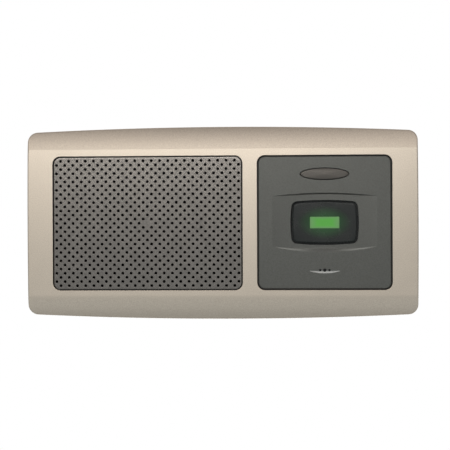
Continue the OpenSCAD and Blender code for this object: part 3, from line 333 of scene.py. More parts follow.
def bowed(width, height, bow_top, bow_side, radius, inset, steps=24):
    """Rectangle with bowed sides and round corners, drawn inset from its outer line."""
    top_r = arc_radius(width / 2, bow_top)
    side_r = arc_radius(height / 2, bow_side)
    top = Vector((0, height / 2 - top_r))
    side = Vector((width / 2 - side_r, 0))
    across = side - top
    span = across.length
    along = across / span
    reach = ((top_r - radius) ** 2 - (side_r - radius) ** 2 + span * span) / (2 * span)
    off = math.sqrt((top_r - radius) ** 2 - reach * reach)
    centre = top + reach * along + off * Vector((along.y, -along.x))
    start = math.atan2(centre.y - side.y, centre.x - side.x)
    end = math.atan2(centre.y - top.y, centre.x - top.x)
    quarter = arc(*side, side_r - inset, 0, start, steps)[:-1]
    quarter += arc(*centre, max(radius - inset, LEAST_CORNER), start, end, CORNER_STEPS)
    quarter += arc(*top, top_r - inset, end, math.pi / 2, steps)[1:]
    left = [(-x, y) for x, y in reversed(quarter[:-1])]
    lower = [(-x, -y) for x, y in quarter[1:]]
    right = [(x, -y) for x, y in reversed(quarter[1:-1])]
    return quarter + left + lower + right


def round_over(radius, steps=ROUND_STEPS):
    """Insets and drops of a quarter round, from the face to the side."""
    turns = [math.pi / 2 * k / steps for k in range(steps + 1)]
    return [(radius * (1 - math.sin(q)), radius * (1 - math.cos(q))) for q in turns]


def span(start, end, step):
    count = max(1, round((end - start) / step))
    return [start + (end - start) * k / count for k in range(count + 1)]


# Mesh building, in plan coordinates with the height above the wall as z


def ring(bm, outline, height):
    """Vertices along an outline at a height, which is a number or a function of x and y."""
    if callable(height):
        return [bm.verts.new((x, y, height(x, y))) for x, y in outline]
    return [bm.verts.new((x, y, height)) for x, y in outline]


def skin(bm, rings):
    """Closed bands between rings of equal counts."""
    for low, high in zip(rings, rings[1:]):
        for k in range(len(low)):
            n = (k + 1) % len(low)
            bm.faces.new((low[k], low[n], high[n], high[k]))


def loft(bm, rows):
    """Bands through outlines of equal counts, each at its height; gives their rings."""
    rings = [ring(bm, outline, height) for outline, height in rows]
    skin(bm, rings)
    return rings


def capped(bm, rows):
    """The same, closed by a face at each end; gives its points."""
    rings = loft(bm, rows)
    bm.faces.new(rings[0])
    bm.faces.new(rings[-1])
    return [v for turn in rings for v in turn]


def lowered(height, drop):
    return lambda x, y: height(x, y) - drop


def inside(points, loop):
    """Even-odd test of many points against one closed loop."""
    odd = np.zeros(len(points), bool)
    for (x0, y0), (x1, y1) in zip(loop, loop[1:] + loop[:1]):
        if y0 != y1:
            crosses = (y0 > points[:, 1]) != (y1 > points[:, 1])
            odd ^= crosses & (points[:, 0] < (x1 - x0) * (points[:, 1] - y0) / (y1 - y0) + x0)
    return odd


def clear_of(points, loop, margin):
    """True for the points at least a margin away from a closed loop."""
    clear = np.ones(len(points), bool)
    for start, end in zip(loop, loop[1:] + loop[:1]):
        a, b = np.array(start), np.array(end)
        share = np.clip((points - a) @ (b - a) / max((b - a) @ (b - a), NO_LENGTH), 0, 1)
        clear &= np.linalg.norm(points - a - share[:, None] * (b - a), axis=1) > margin
    return clear


def fill(bm, outline, holes, height, inner=(), margin=0.25 * MM):
    """Triangles between an outline and its holes, through inner points, lifted by a height."""
    loops = [outline] + holes
    points = []
    edges = []
    for loop in loops:
        first = len(points)
        edges += [(first + k, first + (k + 1) % len(loop)) for k in range(len(loop))]
        points += loop
    if len(inner):
        grid = np.array(inner, float)
        keep = inside(grid, outline) & clear_of(grid, outline, margin)
        for hole in holes:
            keep &= ~inside(grid, hole) & clear_of(grid, hole, margin)
        points += [tuple(p) for p in grid[keep]]
    flat, _, faces, *_ = delaunay_2d_cdt([Vector(p) for p in points], edges, [], 0, SAME_POINT)
    corners = np.array([[tuple(flat[v]) for v in face] for face in faces])
    middle = corners.mean(axis=1)
    first, second = corners[:, 1] - corners[:, 0], corners[:, 2] - corners[:, 0]
    area = abs(first[:, 0] * second[:, 1] - first[:, 1] * second[:, 0]) / 2
    keep = inside(middle, outline) & (area > SLIVER)
    for hole in holes:
        keep &= ~inside(middle, hole)
    verts = ring(bm, [tuple(p) for p in flat], height)
    for face, wanted in zip(faces, keep):
        if wanted:
            bm.faces.new([verts[v] for v in face])
    bmesh.ops.delete(bm, geom=[v for v in verts if not v.link_faces], context="VERTS")


def revolve(bm, profile, cx=0.0, cy=0.0, steps=48):
    """Closed ring body from a closed profile of radius and height."""
    turns = [ring(bm, circle(r, steps, cx, cy), h) for r, h in profile]
    skin(bm, turns + turns[:1])


def turned(bm, profile, cx=0.0, cy=0.0, steps=32):
    """Turned body from a profile of radius and height, closed at both ends; gives its points."""
    return capped(bm, [(circle(r, steps, cx, cy), h) for r, h in profile])


def block(bm, x0, x1, y0, y1, h0, h1):
    """Box between two corners."""
    outline = [(x0, y0), (x1, y0), (x1, y1), (x0, y1)]
    capped(bm, [(outline, h) for h in (h0, h1)])


def new_object(name, data):
    """Object with its data, linked to the scene."""
    obj = bpy.data.objects.new(name, data)
    bpy.context.scene.collection.objects.link(obj)
    return obj


def make_object(bm, name):
    """Object from a mesh that is built, which is freed."""
    mesh = bpy.data.meshes.new(name)
    bm.to_mesh(mesh)
    bm.free()
    return new_object(name, mesh)


def close(bm, name):
    """Joins a mesh at its seams, turns its faces outwards and makes it an object."""
    bmesh.ops.remove_doubles(bm, verts=bm.verts, dist=WELD)
    # Normals of faces this small are only found with certainty at a larger scale
    bmesh.ops.scale(bm, vec=(1 / MM, 1 / MM, 1 / MM), verts=bm.verts)
    bmesh.ops.recalc_face_normals(bm, faces=bm.faces)
    bmesh.ops.scale(bm, vec=(MM, MM, MM), verts=bm.verts)
    return make_object(bm, name)


def settle(obj):
    """Makes the object's modifiers part of its mesh."""
    graph = bpy.context.evaluated_depsgraph_get()
    mesh = bpy.data.meshes.new_from_object(obj.evaluated_get(graph))
    obj.modifiers.clear()
    obj.data = mesh
    mesh.name = obj.name


def boolean(obj, other, operation):
    """Joins another closed body to an object or cuts it away, and removes that body."""
    modifier = obj.modifiers.new("solid", "BOOLEAN")
    modifier.operation = operation
    modifier.solver = "EXACT"
    modifier.object = other
    settle(obj)
    bpy.data.objects.remove(other)


def stand(obj, x=0.0, y=0.0):
    """Moves a body to its place on the plan and stands it up on the wall."""
    obj.data.transform(UPRIGHT @ Matrix.Translation((x, y, 0)))


def soften(obj, degrees=SHARP):
    """Smooth faces with flat planes kept flat, and sharp edges where the angle is large."""
    obj.data.shade_smooth()
    obj.data.set_sharp_from_angle(angle=math.radians(degrees))
    modifier = obj.modifiers.new("normals", "WEIGHTED_NORMAL")
    modifier.keep_sharp = True
    settle(obj)


def true_normals(obj, height, middle=0.0):
    """Gives the faces that lie on a height the normals of that surface, so that no facet shows."""
    mesh = obj.data
    normals = [corner.vector.copy() for corner in mesh.corner_normals]
    step = 0.005 * MM
    near = 0.002 * MM
    inwards = 0.04
    for polygon in mesh.polygons:
        corners = [mesh.vertices[v].co for v in polygon.vertices]
        if any(abs(height(c.x - middle, c.z) + c.y) > near for c in corners):
            continue
        for loop, corner in zip(polygon.loop_indices, corners):
            # A point just inside the face keeps the two sides of a crease apart
            spot = corner.lerp(polygon.center, inwards)
            x, y = spot.x - middle, spot.z
            across = (height(x + step, y) - height(x - step, y)) / (2 * step)
            along = (height(x, y + step) - height(x, y - step)) / (2 * step)
            normals[loop] = Vector((-across, -1, -along)).normalized()
    mesh.normals_split_custom_set(normals)


def finish_piece(obj, material, node, body="station"):
    """Gives a piece its finish, ties it to its body and hides the node that it stands for."""
    obj.data.materials.clear()
    obj.data.materials.append(material)
    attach(obj, body)
    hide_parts(node)
    return obj


# Finishes


def finish_film(obj, material, node, fixed, moving):
    """Gives a ring its finish, bakes its place into its mesh and hides the node that it stands for; its
    two heights, fixed and moving, are not used.
    """
    obj.data.materials.append(material)
    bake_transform(obj)
    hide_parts(node)


def add(tree, kind, settings=None, inputs=None):
    """Adds one node with its settings, and its inputs as values or linked sockets."""
    node = tree.nodes.new(kind)
    for key, value in (settings or {}).items():
        if key == "ramp":
            elements = node.color_ramp.elements
            while len(elements) < len(value):
                elements.new(1.0)
            for element, (position, colour) in zip(elements, value):
                element.position = position
                element.color = colour
        else:
            setattr(node, key, value)
    for key, value in (inputs or {}).items():
        several = isinstance(value, list) and isinstance(value[0], bpy.types.NodeSocket)
        for source in value if several else [value]:
            if isinstance(source, bpy.types.NodeSocket):
                tree.links.new(source, node.inputs[key])
            else:
                node.inputs[key].default_value = source
    return node


def per(millimetres):
    """Texture scale of a pattern with that real size."""
    return 1 / (millimetres * MM)


def shade(colour):
    """Linear colour of a hex code; a colour from the settings is linear already."""
    return linear(colour) if isinstance(colour, str) else colour


def bare_tree(data):
    """Emptied node tree of a material or a world."""
    data.use_nodes = True
    data.node_tree.nodes.clear()
    return data.node_tree


def start_finish(name):
    """New material with its shader and Object coordinates."""
    material = bpy.data.materials.new(name)
    tree = bare_tree(material)
    shader = add(tree, "ShaderNodeBsdfPrincipled")
    add(tree, "ShaderNodeOutputMaterial", inputs={"Surface": shader.outputs["BSDF"]})
    place = add(tree, "ShaderNodeTexCoord").outputs["Object"]
    return material, tree, shader, place


# Run of the edge between painted and bare plastic, and the near-black colour below it, which is bare
# plastic and also painted shade in deep gaps, holes and grooves
PAINT_EDGE = 0.3 * MM
BARE_PLASTIC_AND_SHADE = "#14100B"
# Clouds in the gloss are this many times as large as the grain
CLOUD = 14
# Limits of a noise within which nearly all of it lies
NOISE_LOW, NOISE_HIGH = 0.3, 0.7


def grained(name, pale, dark, grain, relief, gloss, metallic=0.0, spread=(0.35, 0.65), bare_and_shade=None):
    """Finish with a fine grain in its colour, gloss and relief; grain and relief in millimetres.

    The last argument is a height above the wall. Below it the colour turns near black and the metal fades
    out: bare plastic where no paint reaches, and also painted shade in the gaps, holes and grooves that
    lie that deep."""
    material, tree, shader, place = start_finish(name)
    noise = {"Vector": place, "Scale": per(grain), "Detail": 3.0, "Roughness": 0.6}
    speck = add(tree, "ShaderNodeTexNoise", inputs=noise).outputs["Fac"]
    ramp = [(spread[0], shade(dark)), (spread[1], shade(pale))]
    colour = add(tree, "ShaderNodeValToRGB", {"ramp": ramp}, {"Fac": speck}).outputs["Color"]
    shader.inputs["Metallic"].default_value = metallic
    # Near black below that height: bare plastic, and painted shade in deep gaps, holes and grooves
    if bare_and_shade:
        depth = add(tree, "ShaderNodeSeparateXYZ", inputs={"Vector": place}).outputs["Y"]
        limits = {"Value": depth, "From Min": -bare_and_shade, "From Max": PAINT_EDGE - bare_and_shade}
        share = add(tree, "ShaderNodeMapRange", inputs=limits).outputs["Result"]
        mixed = {0: share, 6: colour, 7: linear(BARE_PLASTIC_AND_SHADE)}
        colour = add(tree, "ShaderNodeMix", {"data_type": "RGBA"}, mixed).outputs[2]
        limits.update({"To Min": metallic, "To Max": 0.0})
        fade = add(tree, "ShaderNodeMapRange", inputs=limits).outputs["Result"]
        tree.links.new(fade, shader.inputs["Metallic"])
    noise = {"Vector": place, "Scale": per(grain * CLOUD), "Detail": 2.0}
    cloud = add(tree, "ShaderNodeTexNoise", inputs=noise).outputs["Fac"]
    limits = {"Value": cloud, "From Min": NOISE_LOW, "From Max": NOISE_HIGH}
    limits.update({"To Min": gloss[0], "To Max": gloss[1]})
    rough = add(tree, "ShaderNodeMapRange", inputs=limits).outputs["Result"]
    heights = {"Height": speck, "Distance": relief * MM, "Strength": 1.0}
    bump = add(tree, "ShaderNodeBump", inputs=heights).outputs["Normal"]
    tree.links.new(colour, shader.inputs["Base Color"])
    tree.links.new(rough, shader.inputs["Roughness"])
    tree.links.new(bump, shader.inputs["Normal"])
    return material


# Rise of a weave's crossings, as a share of the thread spacing
WEAVE_RISE = 0.15


def woven(name, pale, dark, thread, gloss):
    """Plain weave along x and z; thread spacing in millimetres."""
    material, tree, shader, place = start_finish(name)
    # The pattern runs through 20 radians per unit, so one thread takes a scale of 2 pi / 20
    scale = per(thread) * 2 * math.pi / 20
    waves = []
    for way in ("X", "Z"):
        bands = {"wave_type": "BANDS", "wave_profile": "SIN", "bands_direction": way}
        wave = add(tree, "ShaderNodeTexWave", bands, {"Vector": place, "Scale": scale})
        waves.append(wave.outputs["Fac"])
    weave = add(tree, "ShaderNodeMath", {"operation": "MULTIPLY"}, dict(enumerate(waves))).outputs["Value"]
    ramp = [(0.1, linear(dark)), (0.7, linear(pale))]
    colour = add(tree, "ShaderNodeValToRGB", {"ramp": ramp}, {"Fac": weave}).outputs["Color"]
    heights = {"Height": weave, "Distance": WEAVE_RISE * thread * MM}
    bump = add(tree, "ShaderNodeBump", inputs=heights).outputs["Normal"]
    tree.links.new(colour, shader.inputs["Base Color"])
    tree.links.new(bump, shader.inputs["Normal"])
    shader.inputs["Roughness"].default_value = gloss
    shader.inputs["Specular IOR Level"].default_value = 0.1
    return material


def champagne_lacquer(colours):
    """Metallic lacquer sprayed on moulded ABS: a satin mirror of the light with fine flakes."""
    return grained(LACQUER, colours.champagne_flake, colours.champagne, 0.4, 0.0006, (0.29, 0.31), 0.85)


def grille_paint(s):
    """Pewter paint on spark-eroded ABS: coarse grains that glint and leave the rest dull."""
    return grained(
        "pewter_paint_on_spark_textured_abs",
        s.colours.grille_flake,
        s.colours.grille,
        grain=0.55,
        relief=0.0045,
        gloss=(0.215, 0.25),
        metallic=0.95,
        spread=(0.35, 0.7),
        # Below a quarter millimetre under the face the grille turns near black: bare plastic, and painted
        # shade in its gap and sound holes
        bare_and_shade=insert_face(s) - 0.25 * MM,
    )


def panel_plastic(s):
    """Grey ABS from a spark-eroded mould: an even dull sheen with a fine grain."""
    return grained(
        "grey_abs_spark_textured",
        s.colours.panel,
        "#62635E",
        grain=0.5,
        relief=0.002,
        gloss=(0.32, 0.36),
        metallic=0.65,
        # Below 0.8 mm under the face the panel turns near black: bare plastic, and painted shade in its
        # gap, openings, microphone holes and the dish's groove
        bare_and_shade=insert_face(s) - 0.8 * MM,
    )


def scoop_painted_highlight():
    """The scoop's floor, which its mould left polished: less rough than the panel, and painted pale as a
    highlight of the light from above.
    """
    return grained("grey_abs_polished_scoop", "#CFD0CC", "#C5C6C2", 0.5, 0.001, (0.2, 0.25))


def oval_plastic(colours):
    """Grey-brown ABS, tumbled satin: a soft highlight along the crown."""
    return grained("grey_brown_abs_satin", colours.oval, "#625E58", 0.5, 0.002, (0.32, 0.36), 0.5)


# Refraction of acrylic, and how bright it looks where it is lit from behind
ACRYLIC_IOR = 1.49
LIT_STRENGTH = 0.25


def lit_acrylic(tree, shader, ramp, share):
    """Acrylic whose colour also glows, along a ramp of colours."""
    colour = add(tree, "ShaderNodeValToRGB", {"ramp": ramp}, {"Fac": share}).outputs["Color"]
    tree.links.new(colour, shader.inputs["Base Color"])
    tree.links.new(colour, shader.inputs["Emission Color"])
    shader.inputs["Emission Strength"].default_value = LIT_STRENGTH
    shader.inputs["IOR"].default_value = ACRYLIC_IOR


def from_window(tree, place, s, wide, high):
    """Place seen from the call window's middle, in shares of the window's size times two factors."""
    size = (s.buttons.window_width * wide, 1.0, s.buttons.window_height * high)
    seen = {"Vector": place, "Location": (panel_middle(s.frame), 0.0, 0.0), "Scale": size}
    return add(tree, "ShaderNodeMapping", {"vector_type": "TEXTURE"}, seen).outputs["Vector"]


def smoked_acrylic(s):
    """Smoked acrylic over a lit lens: near black and glossy, with green light round the window."""
    material, tree, shader, place = start_finish("smoked_acrylic_moulded")
    near = from_window(tree, place, s, 0.95, 1.5)
    flat = add(tree, "ShaderNodeVectorMath", {"operation": "MULTIPLY"}, {0: near, 1: (1, 0, 1)})
    spot = {0: flat.outputs["Vector"]}
    away = add(tree, "ShaderNodeVectorMath", {"operation": "LENGTH"}, spot).outputs["Value"]
    limits = {"Value": away, "From Min": 0.25, "From Max": 1.05, "To Min": 1.0, "To Max": 0.0}
    glow = add(tree, "ShaderNodeMapRange", {"interpolation_type": "SMOOTHSTEP"}, limits).outputs["Result"]
    lit_acrylic(tree, shader, [(0.0, s.colours.smoke), (1.0, linear("#1E4A22"))], glow)
    noise = {"Vector": place, "Scale": per(6), "Detail": 3.0}
    dust = add(tree, "ShaderNodeTexNoise", inputs=noise).outputs["Fac"]
    limits = {"Value": dust, "From Min": NOISE_LOW, "From Max": NOISE_HIGH, "To Min": 0.2, "To Max": 0.3}
    rough = add(tree, "ShaderNodeMapRange", inputs=limits).outputs["Result"]
    tree.links.new(rough, shader.inputs["Roughness"])
    return material


def lit_lens(s):
    """Green acrylic lens lit from behind: even light that falls off towards its edges."""
    material, tree, shader, place = start_finish("green_acrylic_lit_lens")
    near = from_window(tree, place, s, 0.5, 0.5)
    size = add(tree, "ShaderNodeVectorMath", {"operation": "ABSOLUTE"}, {0: near}).outputs["Vector"]
    parts = add(tree, "ShaderNodeSeparateXYZ", inputs={"Vector": size}).outputs
    edge = add(tree, "ShaderNodeMath", {"operation": "MAXIMUM"}, {0: parts["X"], 1: parts["Z"]})
    limits = {"Value": edge.outputs["Value"], "From Min": 0.5, "From Max": 1.0}
    fall = add(tree, "ShaderNodeMapRange", inputs=limits).outputs["Result"]
    lit_acrylic(tree, shader, [(0.0, s.colours.lit), (1.0, linear("#6C9A62"))], fall)
    shader.inputs["Roughness"].default_value = 0.25
    return material


def housing_plastic(colours):
    """Dark grey ABS with the fine matt grain of a plain mould."""
    return grained("dark_grey_abs_moulded", colours.housing, "#303033", 0.6, 0.006, (0.5, 0.6))


def felted_can():
    """Drawn aluminium, pale satin, with black felt glued over the face that hears."""
    material = grained("aluminium_drawn_felt_front", "#DADADA", "#C6C6C6", 0.4, 0.003, (0.3, 0.38), 1.0)
    tree = material.node_tree
    shader = next(node for node in tree.nodes if node.type == "BSDF_PRINCIPLED")
    facing = add(tree, "ShaderNodeTexCoord").outputs["Normal"]
    outward = add(tree, "ShaderNodeSeparateXYZ", inputs={"Vector": facing}).outputs["Y"]
    sides = {0: outward, 1: -0.5}
    can = add(tree, "ShaderNodeMath", {"operation": "GREATER_THAN"}, sides).outputs["Value"]
    metal = shader.inputs["Base Color"].links[0].from_socket
    mixed = {0: can, 6: linear("#0B0B0B"), 7: metal}
    colour = add(tree, "ShaderNodeMix", {"data_type": "RGBA"}, mixed).outputs[2]
    tree.links.new(colour, shader.inputs["Base Color"])
    tree.links.new(can, shader.inputs["Metallic"])
    return material


def inner_finishes():
    """Finishes of the pieces inside the case, by the record's slots."""
    # Name, pale and dark colour, grain and relief in millimetres, gloss, and how metallic it is
    rows = {
        # Pressed board: brown fibres, dull
        "tag_board": ("phenolic_board_pressed", "#7A4E2C", "#5F3B20", 0.35, 0.01, (0.6, 0.75)),
        # Solder resist: glossy green over the cloth of the laminate
        "board_laminate": ("solder_resist_on_laminate", "#1B5A38", "#13472B", 0.7, 0.006, (0.22, 0.3)),
        # Rubber: near black, matt
        "black_rubber": ("nitrile_rubber_moulded", "#191919", "#121212", 0.5, 0.006, (0.6, 0.75)),
        # Foam: open pores that swallow light
        "black_foam": ("foam_open_cell", "#222222", "#0A0A0A", 0.45, 0.15, (0.85, 0.95)),
        # Paper cone: felted fibres, matt
        "cone_paper": ("cone_paper_pressed", "#2B2825", "#1B1917", 0.4, 0.03, (0.8, 0.9)),
        # PVC sleeve: red, with a soft gloss
        "lead_sleeve": ("pvc_sleeve_extruded", "#97211A", "#841B15", 0.6, 0.003, (0.35, 0.45)),
        # Zinc plate: bluish mirror broken up by crystals
        "zinc_steel": ("zinc_plated_steel", "#D2D4D6", "#B9BCC0", 0.6, 0.004, (0.26, 0.36), 1.0),
        # Core steel: dull, dark, rolled
        "core_steel": ("core_steel_stamped", "#7F8084", "#6A6B70", 0.5, 0.006, (0.42, 0.55), 1.0),
        # Ferrite: dark grey sintered grain
        "ferrite": ("ferrite_sintered", "#3B3B3E", "#2A2A2C", 0.3, 0.012, (0.55, 0.7)),
        # Brass: turned, yellow mirror with a fine grain
        "brass": ("brass_turned", "#DDB765", "#C9A04D", 0.3, 0.003, (0.22, 0.3), 1.0),
        # Enamelled copper: orange-brown gloss
        "copper_wire": ("copper_wire_enamelled", "#C9773F", "#A95D2C", 0.25, 0.02, (0.28, 0.36), 0.9),
        # Shrink sleeve: glossy dark blue film
        "capacitor_sleeve": ("pet_sleeve_shrunk", "#232A55", "#1B2147", 0.8, 0.003, (0.2, 0.28)),
        # Polyester tape: yellow film over the winding's turns
        "winding_tape": ("polyester_tape_wound", "#C9962E", "#B58223", 0.5, 0.01, (0.25, 0.34)),
    }
    plastics = {"black_plastic": ("#161616", "#101010"), "white_plastic": ("#E6E1D6", "#D8D2C4")}
    plastics.update({"green_plastic": ("#2A6B46", "#215838"), "orange_plastic": ("#D98A2E", "#C77A20")})
    for slot, colours in plastics.items():
        # Moulded parts: an even sheen with a faint grain
        rows[slot] = (slot + "_moulded", *colours, 0.5, 0.004, (0.42, 0.5))
    made = {slot: grained(*row) for slot, row in rows.items()}
    made["aluminium_can"] = felted_can()
    return made


# Places shared by several pieces


def panel_middle(f):
    """x of the panel's and the buttons' middle."""
    return (f.grille_opening + f.web) / 2


def grille_middle(f):
    return -(f.web + f.panel_opening) / 2


def insert_face(s):
    """Height of the inserts' faces above the wall."""
    return s.frame.depth - s.inserts.set_back


def ceiling(s):
    """Height of the frame's inner ceiling, which the flanges touch."""
    return s.frame.depth - s.frame.front_wall


def frame_outline(f, inset):
    """Outer line of the frame, with points where the front changes its slope."""
    outline = bowed(f.width, f.height, f.edge_bow, f.end_bow, f.corner, inset)
    for level in (crease_level(f), roll_level(f)):
        points = []
        for (x0, y0), (x1, y1) in zip(outline, outline[1:] + outline[:1]):
            points.append((x0, y0))
            if (y0 > level) != (y1 > level):
                points.append((x0 + (x1 - x0) * (level - y0) / (y1 - y0), level))
        outline = points
    return outline


def edge_at(f, x, inset):
    """Half height of the frame's outline at x."""
    radius = arc_radius(f.width / 2, f.edge_bow)
    return f.height / 2 - radius + math.sqrt((radius - inset) ** 2 - x * x)


def call_outline(b, inset):
    return bowed(b.call_width, b.call_height, b.call_bow, b.call_bow, b.call_corner, inset, 12)


# From the openings' edges to the screw bosses: the inserts' flange and a little room
BOSS_GAP = 2.65 * MM


def boss_places(f):
    """Plan points of the six bosses that the chassis screws bite into."""
    row = f.grille_opening + f.web + f.panel_opening
    web_x = -row / 2 + f.grille_opening + f.web / 2
    end = f.width / 2 - f.boss_inset
    level = f.opening_height / 2 + BOSS_GAP + f.boss / 2
    return [(x, side * level) for x in (-end, web_x, end) for side in (-1, 1)]


def skirt_back(f):
    """Height of the skirt's back edge above the wall."""
    return f.depth - f.skirt_depth


def case_screw_turn(s, x):
    """Matrix that stands a screw, drawn along z, in the lower skirt at x."""
    middle = (skirt_back(s.frame) + s.housing.rim) / 2
    place = Matrix.Translation((x, -edge_at(s.frame, x, 0), middle))
    return place @ Matrix.Rotation(-math.pi / 2, 4, "X")


# Pieces


def crease_level(f):
    return f.height / 2 - f.crease_drop


def roll_level(f):
    return f.bottom_run - f.height / 2


def frame_front(f):
    """Height of the frame's front: flat, with a band that steepens above the crease and a roll below."""
    slope = math.tan(f.crease_angle)
    gain = (math.tan(f.top_angle) - slope) / (3 * f.crease_drop**2)

    def height(x, y):
        if y > crease_level(f):
            above = y - crease_level(f)
            return f.depth - slope * above - gain * above**3
        if y < roll_level(f):
            return f.depth - f.bottom_roll + math.sqrt(f.bottom_roll**2 - (y - roll_level(f)) ** 2)
        return f.depth

    return height


# Spacing of the columns of points on the frame's front, and of the rows as a share of the band
BAND_COLUMN = 2 * MM
BAND_SHARE = 0.05


def band_points(f, base, side):
    """Rows of points that turn from a level line into the bowed edge on one side."""
    points = []
    for x in span(-f.width / 2, f.width / 2, BAND_COLUMN):
        edge = side * edge_at(f, x, f.edge_round)
        points += [(x, base + (edge - base) * share) for share in span(0, 1, BAND_SHARE)]
    return points


# Easing of the rims where the skirt and the housing meet
SKIRT_EASE = 0.3 * MM
HOUSING_EASE = 0.25 * MM


def build_front_frame(s):
    """Bowed shell with two openings, screw bosses, seat ribs and hooks."""
    f = s.frame
    height = frame_front(f)
    under = lowered(height, f.front_wall)
    back = skirt_back(f)
    openings = [(grille_middle(f), f.grille_opening), (panel_middle(f), f.panel_opening)]

    def opening(grow):
        size = f.opening_height + 2 * grow
        return [rounded(w + 2 * grow, size, f.opening_corner + grow, x) for x, w in openings]

    bm = bmesh.new()
    rows = [(frame_outline(f, i), lowered(height, d)) for i, d in round_over(f.edge_round)]
    rows.append((frame_outline(f, 0), under))
    rows += [(frame_outline(f, SKIRT_EASE - i), back + d) for i, d in reversed(round_over(SKIRT_EASE, 2))]
    rows += [(frame_outline(f, f.skirt_wall), level) for level in (back, under)]
    loft(bm, rows)
    grid = band_points(f, crease_level(f), 1) + band_points(f, roll_level(f), -1)
    fill(bm, frame_outline(f, f.edge_round), opening(f.opening_round), height, grid)
    fill(bm, frame_outline(f, f.skirt_wall), opening(0), under, grid)
    wall = round_over(f.opening_round) + [(0, f.front_wall)]
    for k in range(len(openings)):
        loft(bm, [(opening(grow)[k], f.depth - drop) for grow, drop in wall])
    shell = close(bm, "front_frame")
    boolean(shell, frame_fittings(s), "UNION")
    boolean(shell, case_screw_cutters(s), "DIFFERENCE")
    stand(shell)
    soften(shell)
    true_normals(shell, height)
    return shell


# Bosses: radius and depth of their bores, and their tops behind the flat front
BOSS_BORE = 1.3 * MM
BOSS_BORE_DEPTH = 4.6 * MM
BOSS_BURY = 1.6 * MM
# The chassis lies this far behind the front of the speaker's basket
CHASSIS_DROP = 1 * MM
# Seat ribs: half their thickness, and their places from the ends and from the middle
RIB_HALF = 1 * MM
RIB_FROM_END = 16 * MM
RIB_FROM_MIDDLE = 25 * MM
RIB_UP = 20 * MM
# Room between a hook's tip and the ribs' line
HOOK_ROOM = 0.1 * MM


def frame_fittings(s):
    """Bosses, seat ribs and hooks inside the frame."""
    f, h = s.frame, s.housing
    bm = bmesh.new()
    low = -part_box("speaker_basket")[0].y - CHASSIS_DROP
    for x, y in boss_places(f):
        profile = [(BOSS_BORE, low + BOSS_BORE_DEPTH), (BOSS_BORE, low)]
        profile += [(f.boss / 2, low), (f.boss / 2, f.depth - BOSS_BURY)]
        turned(bm, profile, x, y, 24)
    reach = f.skirt_wall + h.lap + h.wall
    bury = f.skirt_wall / 2
    front = frame_front(f)
    outer = f.width / 2 - RIB_FROM_END
    for x in (-outer, -RIB_FROM_MIDDLE, RIB_FROM_MIDDLE, outer):
        for side in (-1, 1):
            near, far = edge_at(f, x, reach), edge_at(f, x, bury)
            y0, y1 = sorted((side * near, side * far))
            block(bm, x - RIB_HALF, x + RIB_HALF, y0, y1, h.rim, front(x, side * far) - f.front_wall / 2)
    end = f.width / 2 - f.end_bow
    for side in (-1, 1):
        x0, x1 = sorted((side * (end - reach), side * (end - bury)))
        for y in (-RIB_UP, RIB_UP):
            block(bm, x0, x1, y - RIB_HALF, y + RIB_HALF, h.rim, f.depth - f.front_wall / 2)
    middle = (skirt_back(f) + h.rim) / 2
    half, tall = h.hook_width / 2, h.hook_thickness / 2
    for x in (-h.hook_x, h.hook_x):
        near, far = edge_at(f, x, reach - HOOK_ROOM), edge_at(f, x, bury)
        block(bm, x - half, x + half, near, far, middle - tall, middle + tall)
    return close(bm, "frame_fittings")


# Room round screws and hooks in their holes, and how far a cutter runs past a face
SLACK = 0.2 * MM
PAST = 0.5 * MM


def screw_bores(bm, s, profile):
    """Turned bodies in the places of the two case screws."""
    for x in (-s.housing.screw_x, s.housing.screw_x):
        bmesh.ops.transform(bm, matrix=case_screw_turn(s, x), verts=turned(bm, profile))


def case_screw_cutters(s):
    """Countersunk holes for the two case screws."""
    h = s.housing
    head, shank = h.screw_head / 2 + SLACK, h.screw / 2 + SLACK
    neck, deep = h.screw_sink + h.screw_head_depth, 2 * s.frame.skirt_wall
    bm = bmesh.new()
    screw_bores(bm, s, [(head, -2 * PAST), (head, h.screw_sink), (shank, neck), (shank, deep)])
    return close(bm, "case_screw_holes")


# Sides of a round sound hole, a multiple of 4
HOLE_SIDES = 16


def cell_mesh(name, step, top, bottom, hole, ease):
    """One cell of the perforated skin, with a round hole or plain."""
    half = step / 2
    bm = bmesh.new()
    square = [(half, 0), (half, half), (0, half), (-half, half)]
    square += [(-x, -y) for x, y in square]
    upper, lower = (ring(bm, square, level) for level in (top, bottom))
    if hole:
        rims = [(hole / 2 + ease, top), (hole / 2, top - ease), (hole / 2, bottom)]
        turns = loft(bm, [(circle(r, HOLE_SIDES), z) for r, z in rims])
        quarter = HOLE_SIDES // 4
        for face, turn in ((upper, turns[0]), (lower, turns[-1])):
            for k in range(4):
                corner = [face[(2 * k + n) % 8] for n in range(3)]
                edge = [turn[(quarter * k + n) % HOLE_SIDES] for n in range(quarter, -1, -1)]
                bm.faces.new(corner + edge)
    else:
        bm.faces.new(upper)
        bm.faces.new(lower)
    for face in bm.faces:
        face.smooth = True
        face.normal_update()
        middle = face.calc_center_median()
        if abs(face.normal.z) > 0.5:
            inward = face.normal.z * (middle.z - (top + bottom) / 2) < 0
        else:
            inward = face.normal.xy.dot(middle.xy) > 0
        if inward:
            face.normal_flip()
    return make_object(bm, name)


# Least room between the grille's edge and the middle of a cell
CELL_MARGIN = 1.2 * MM


def grille_counts(s):
    """Columns and rows of the grille's grid on either side of its middle."""
    n = s.inserts
    width = s.frame.grille_opening - 2 * n.gap
    height = s.frame.opening_height - 2 * n.gap
    return int((width / 2 - CELL_MARGIN) / n.step), int((height / 2 - CELL_MARGIN) / n.step)


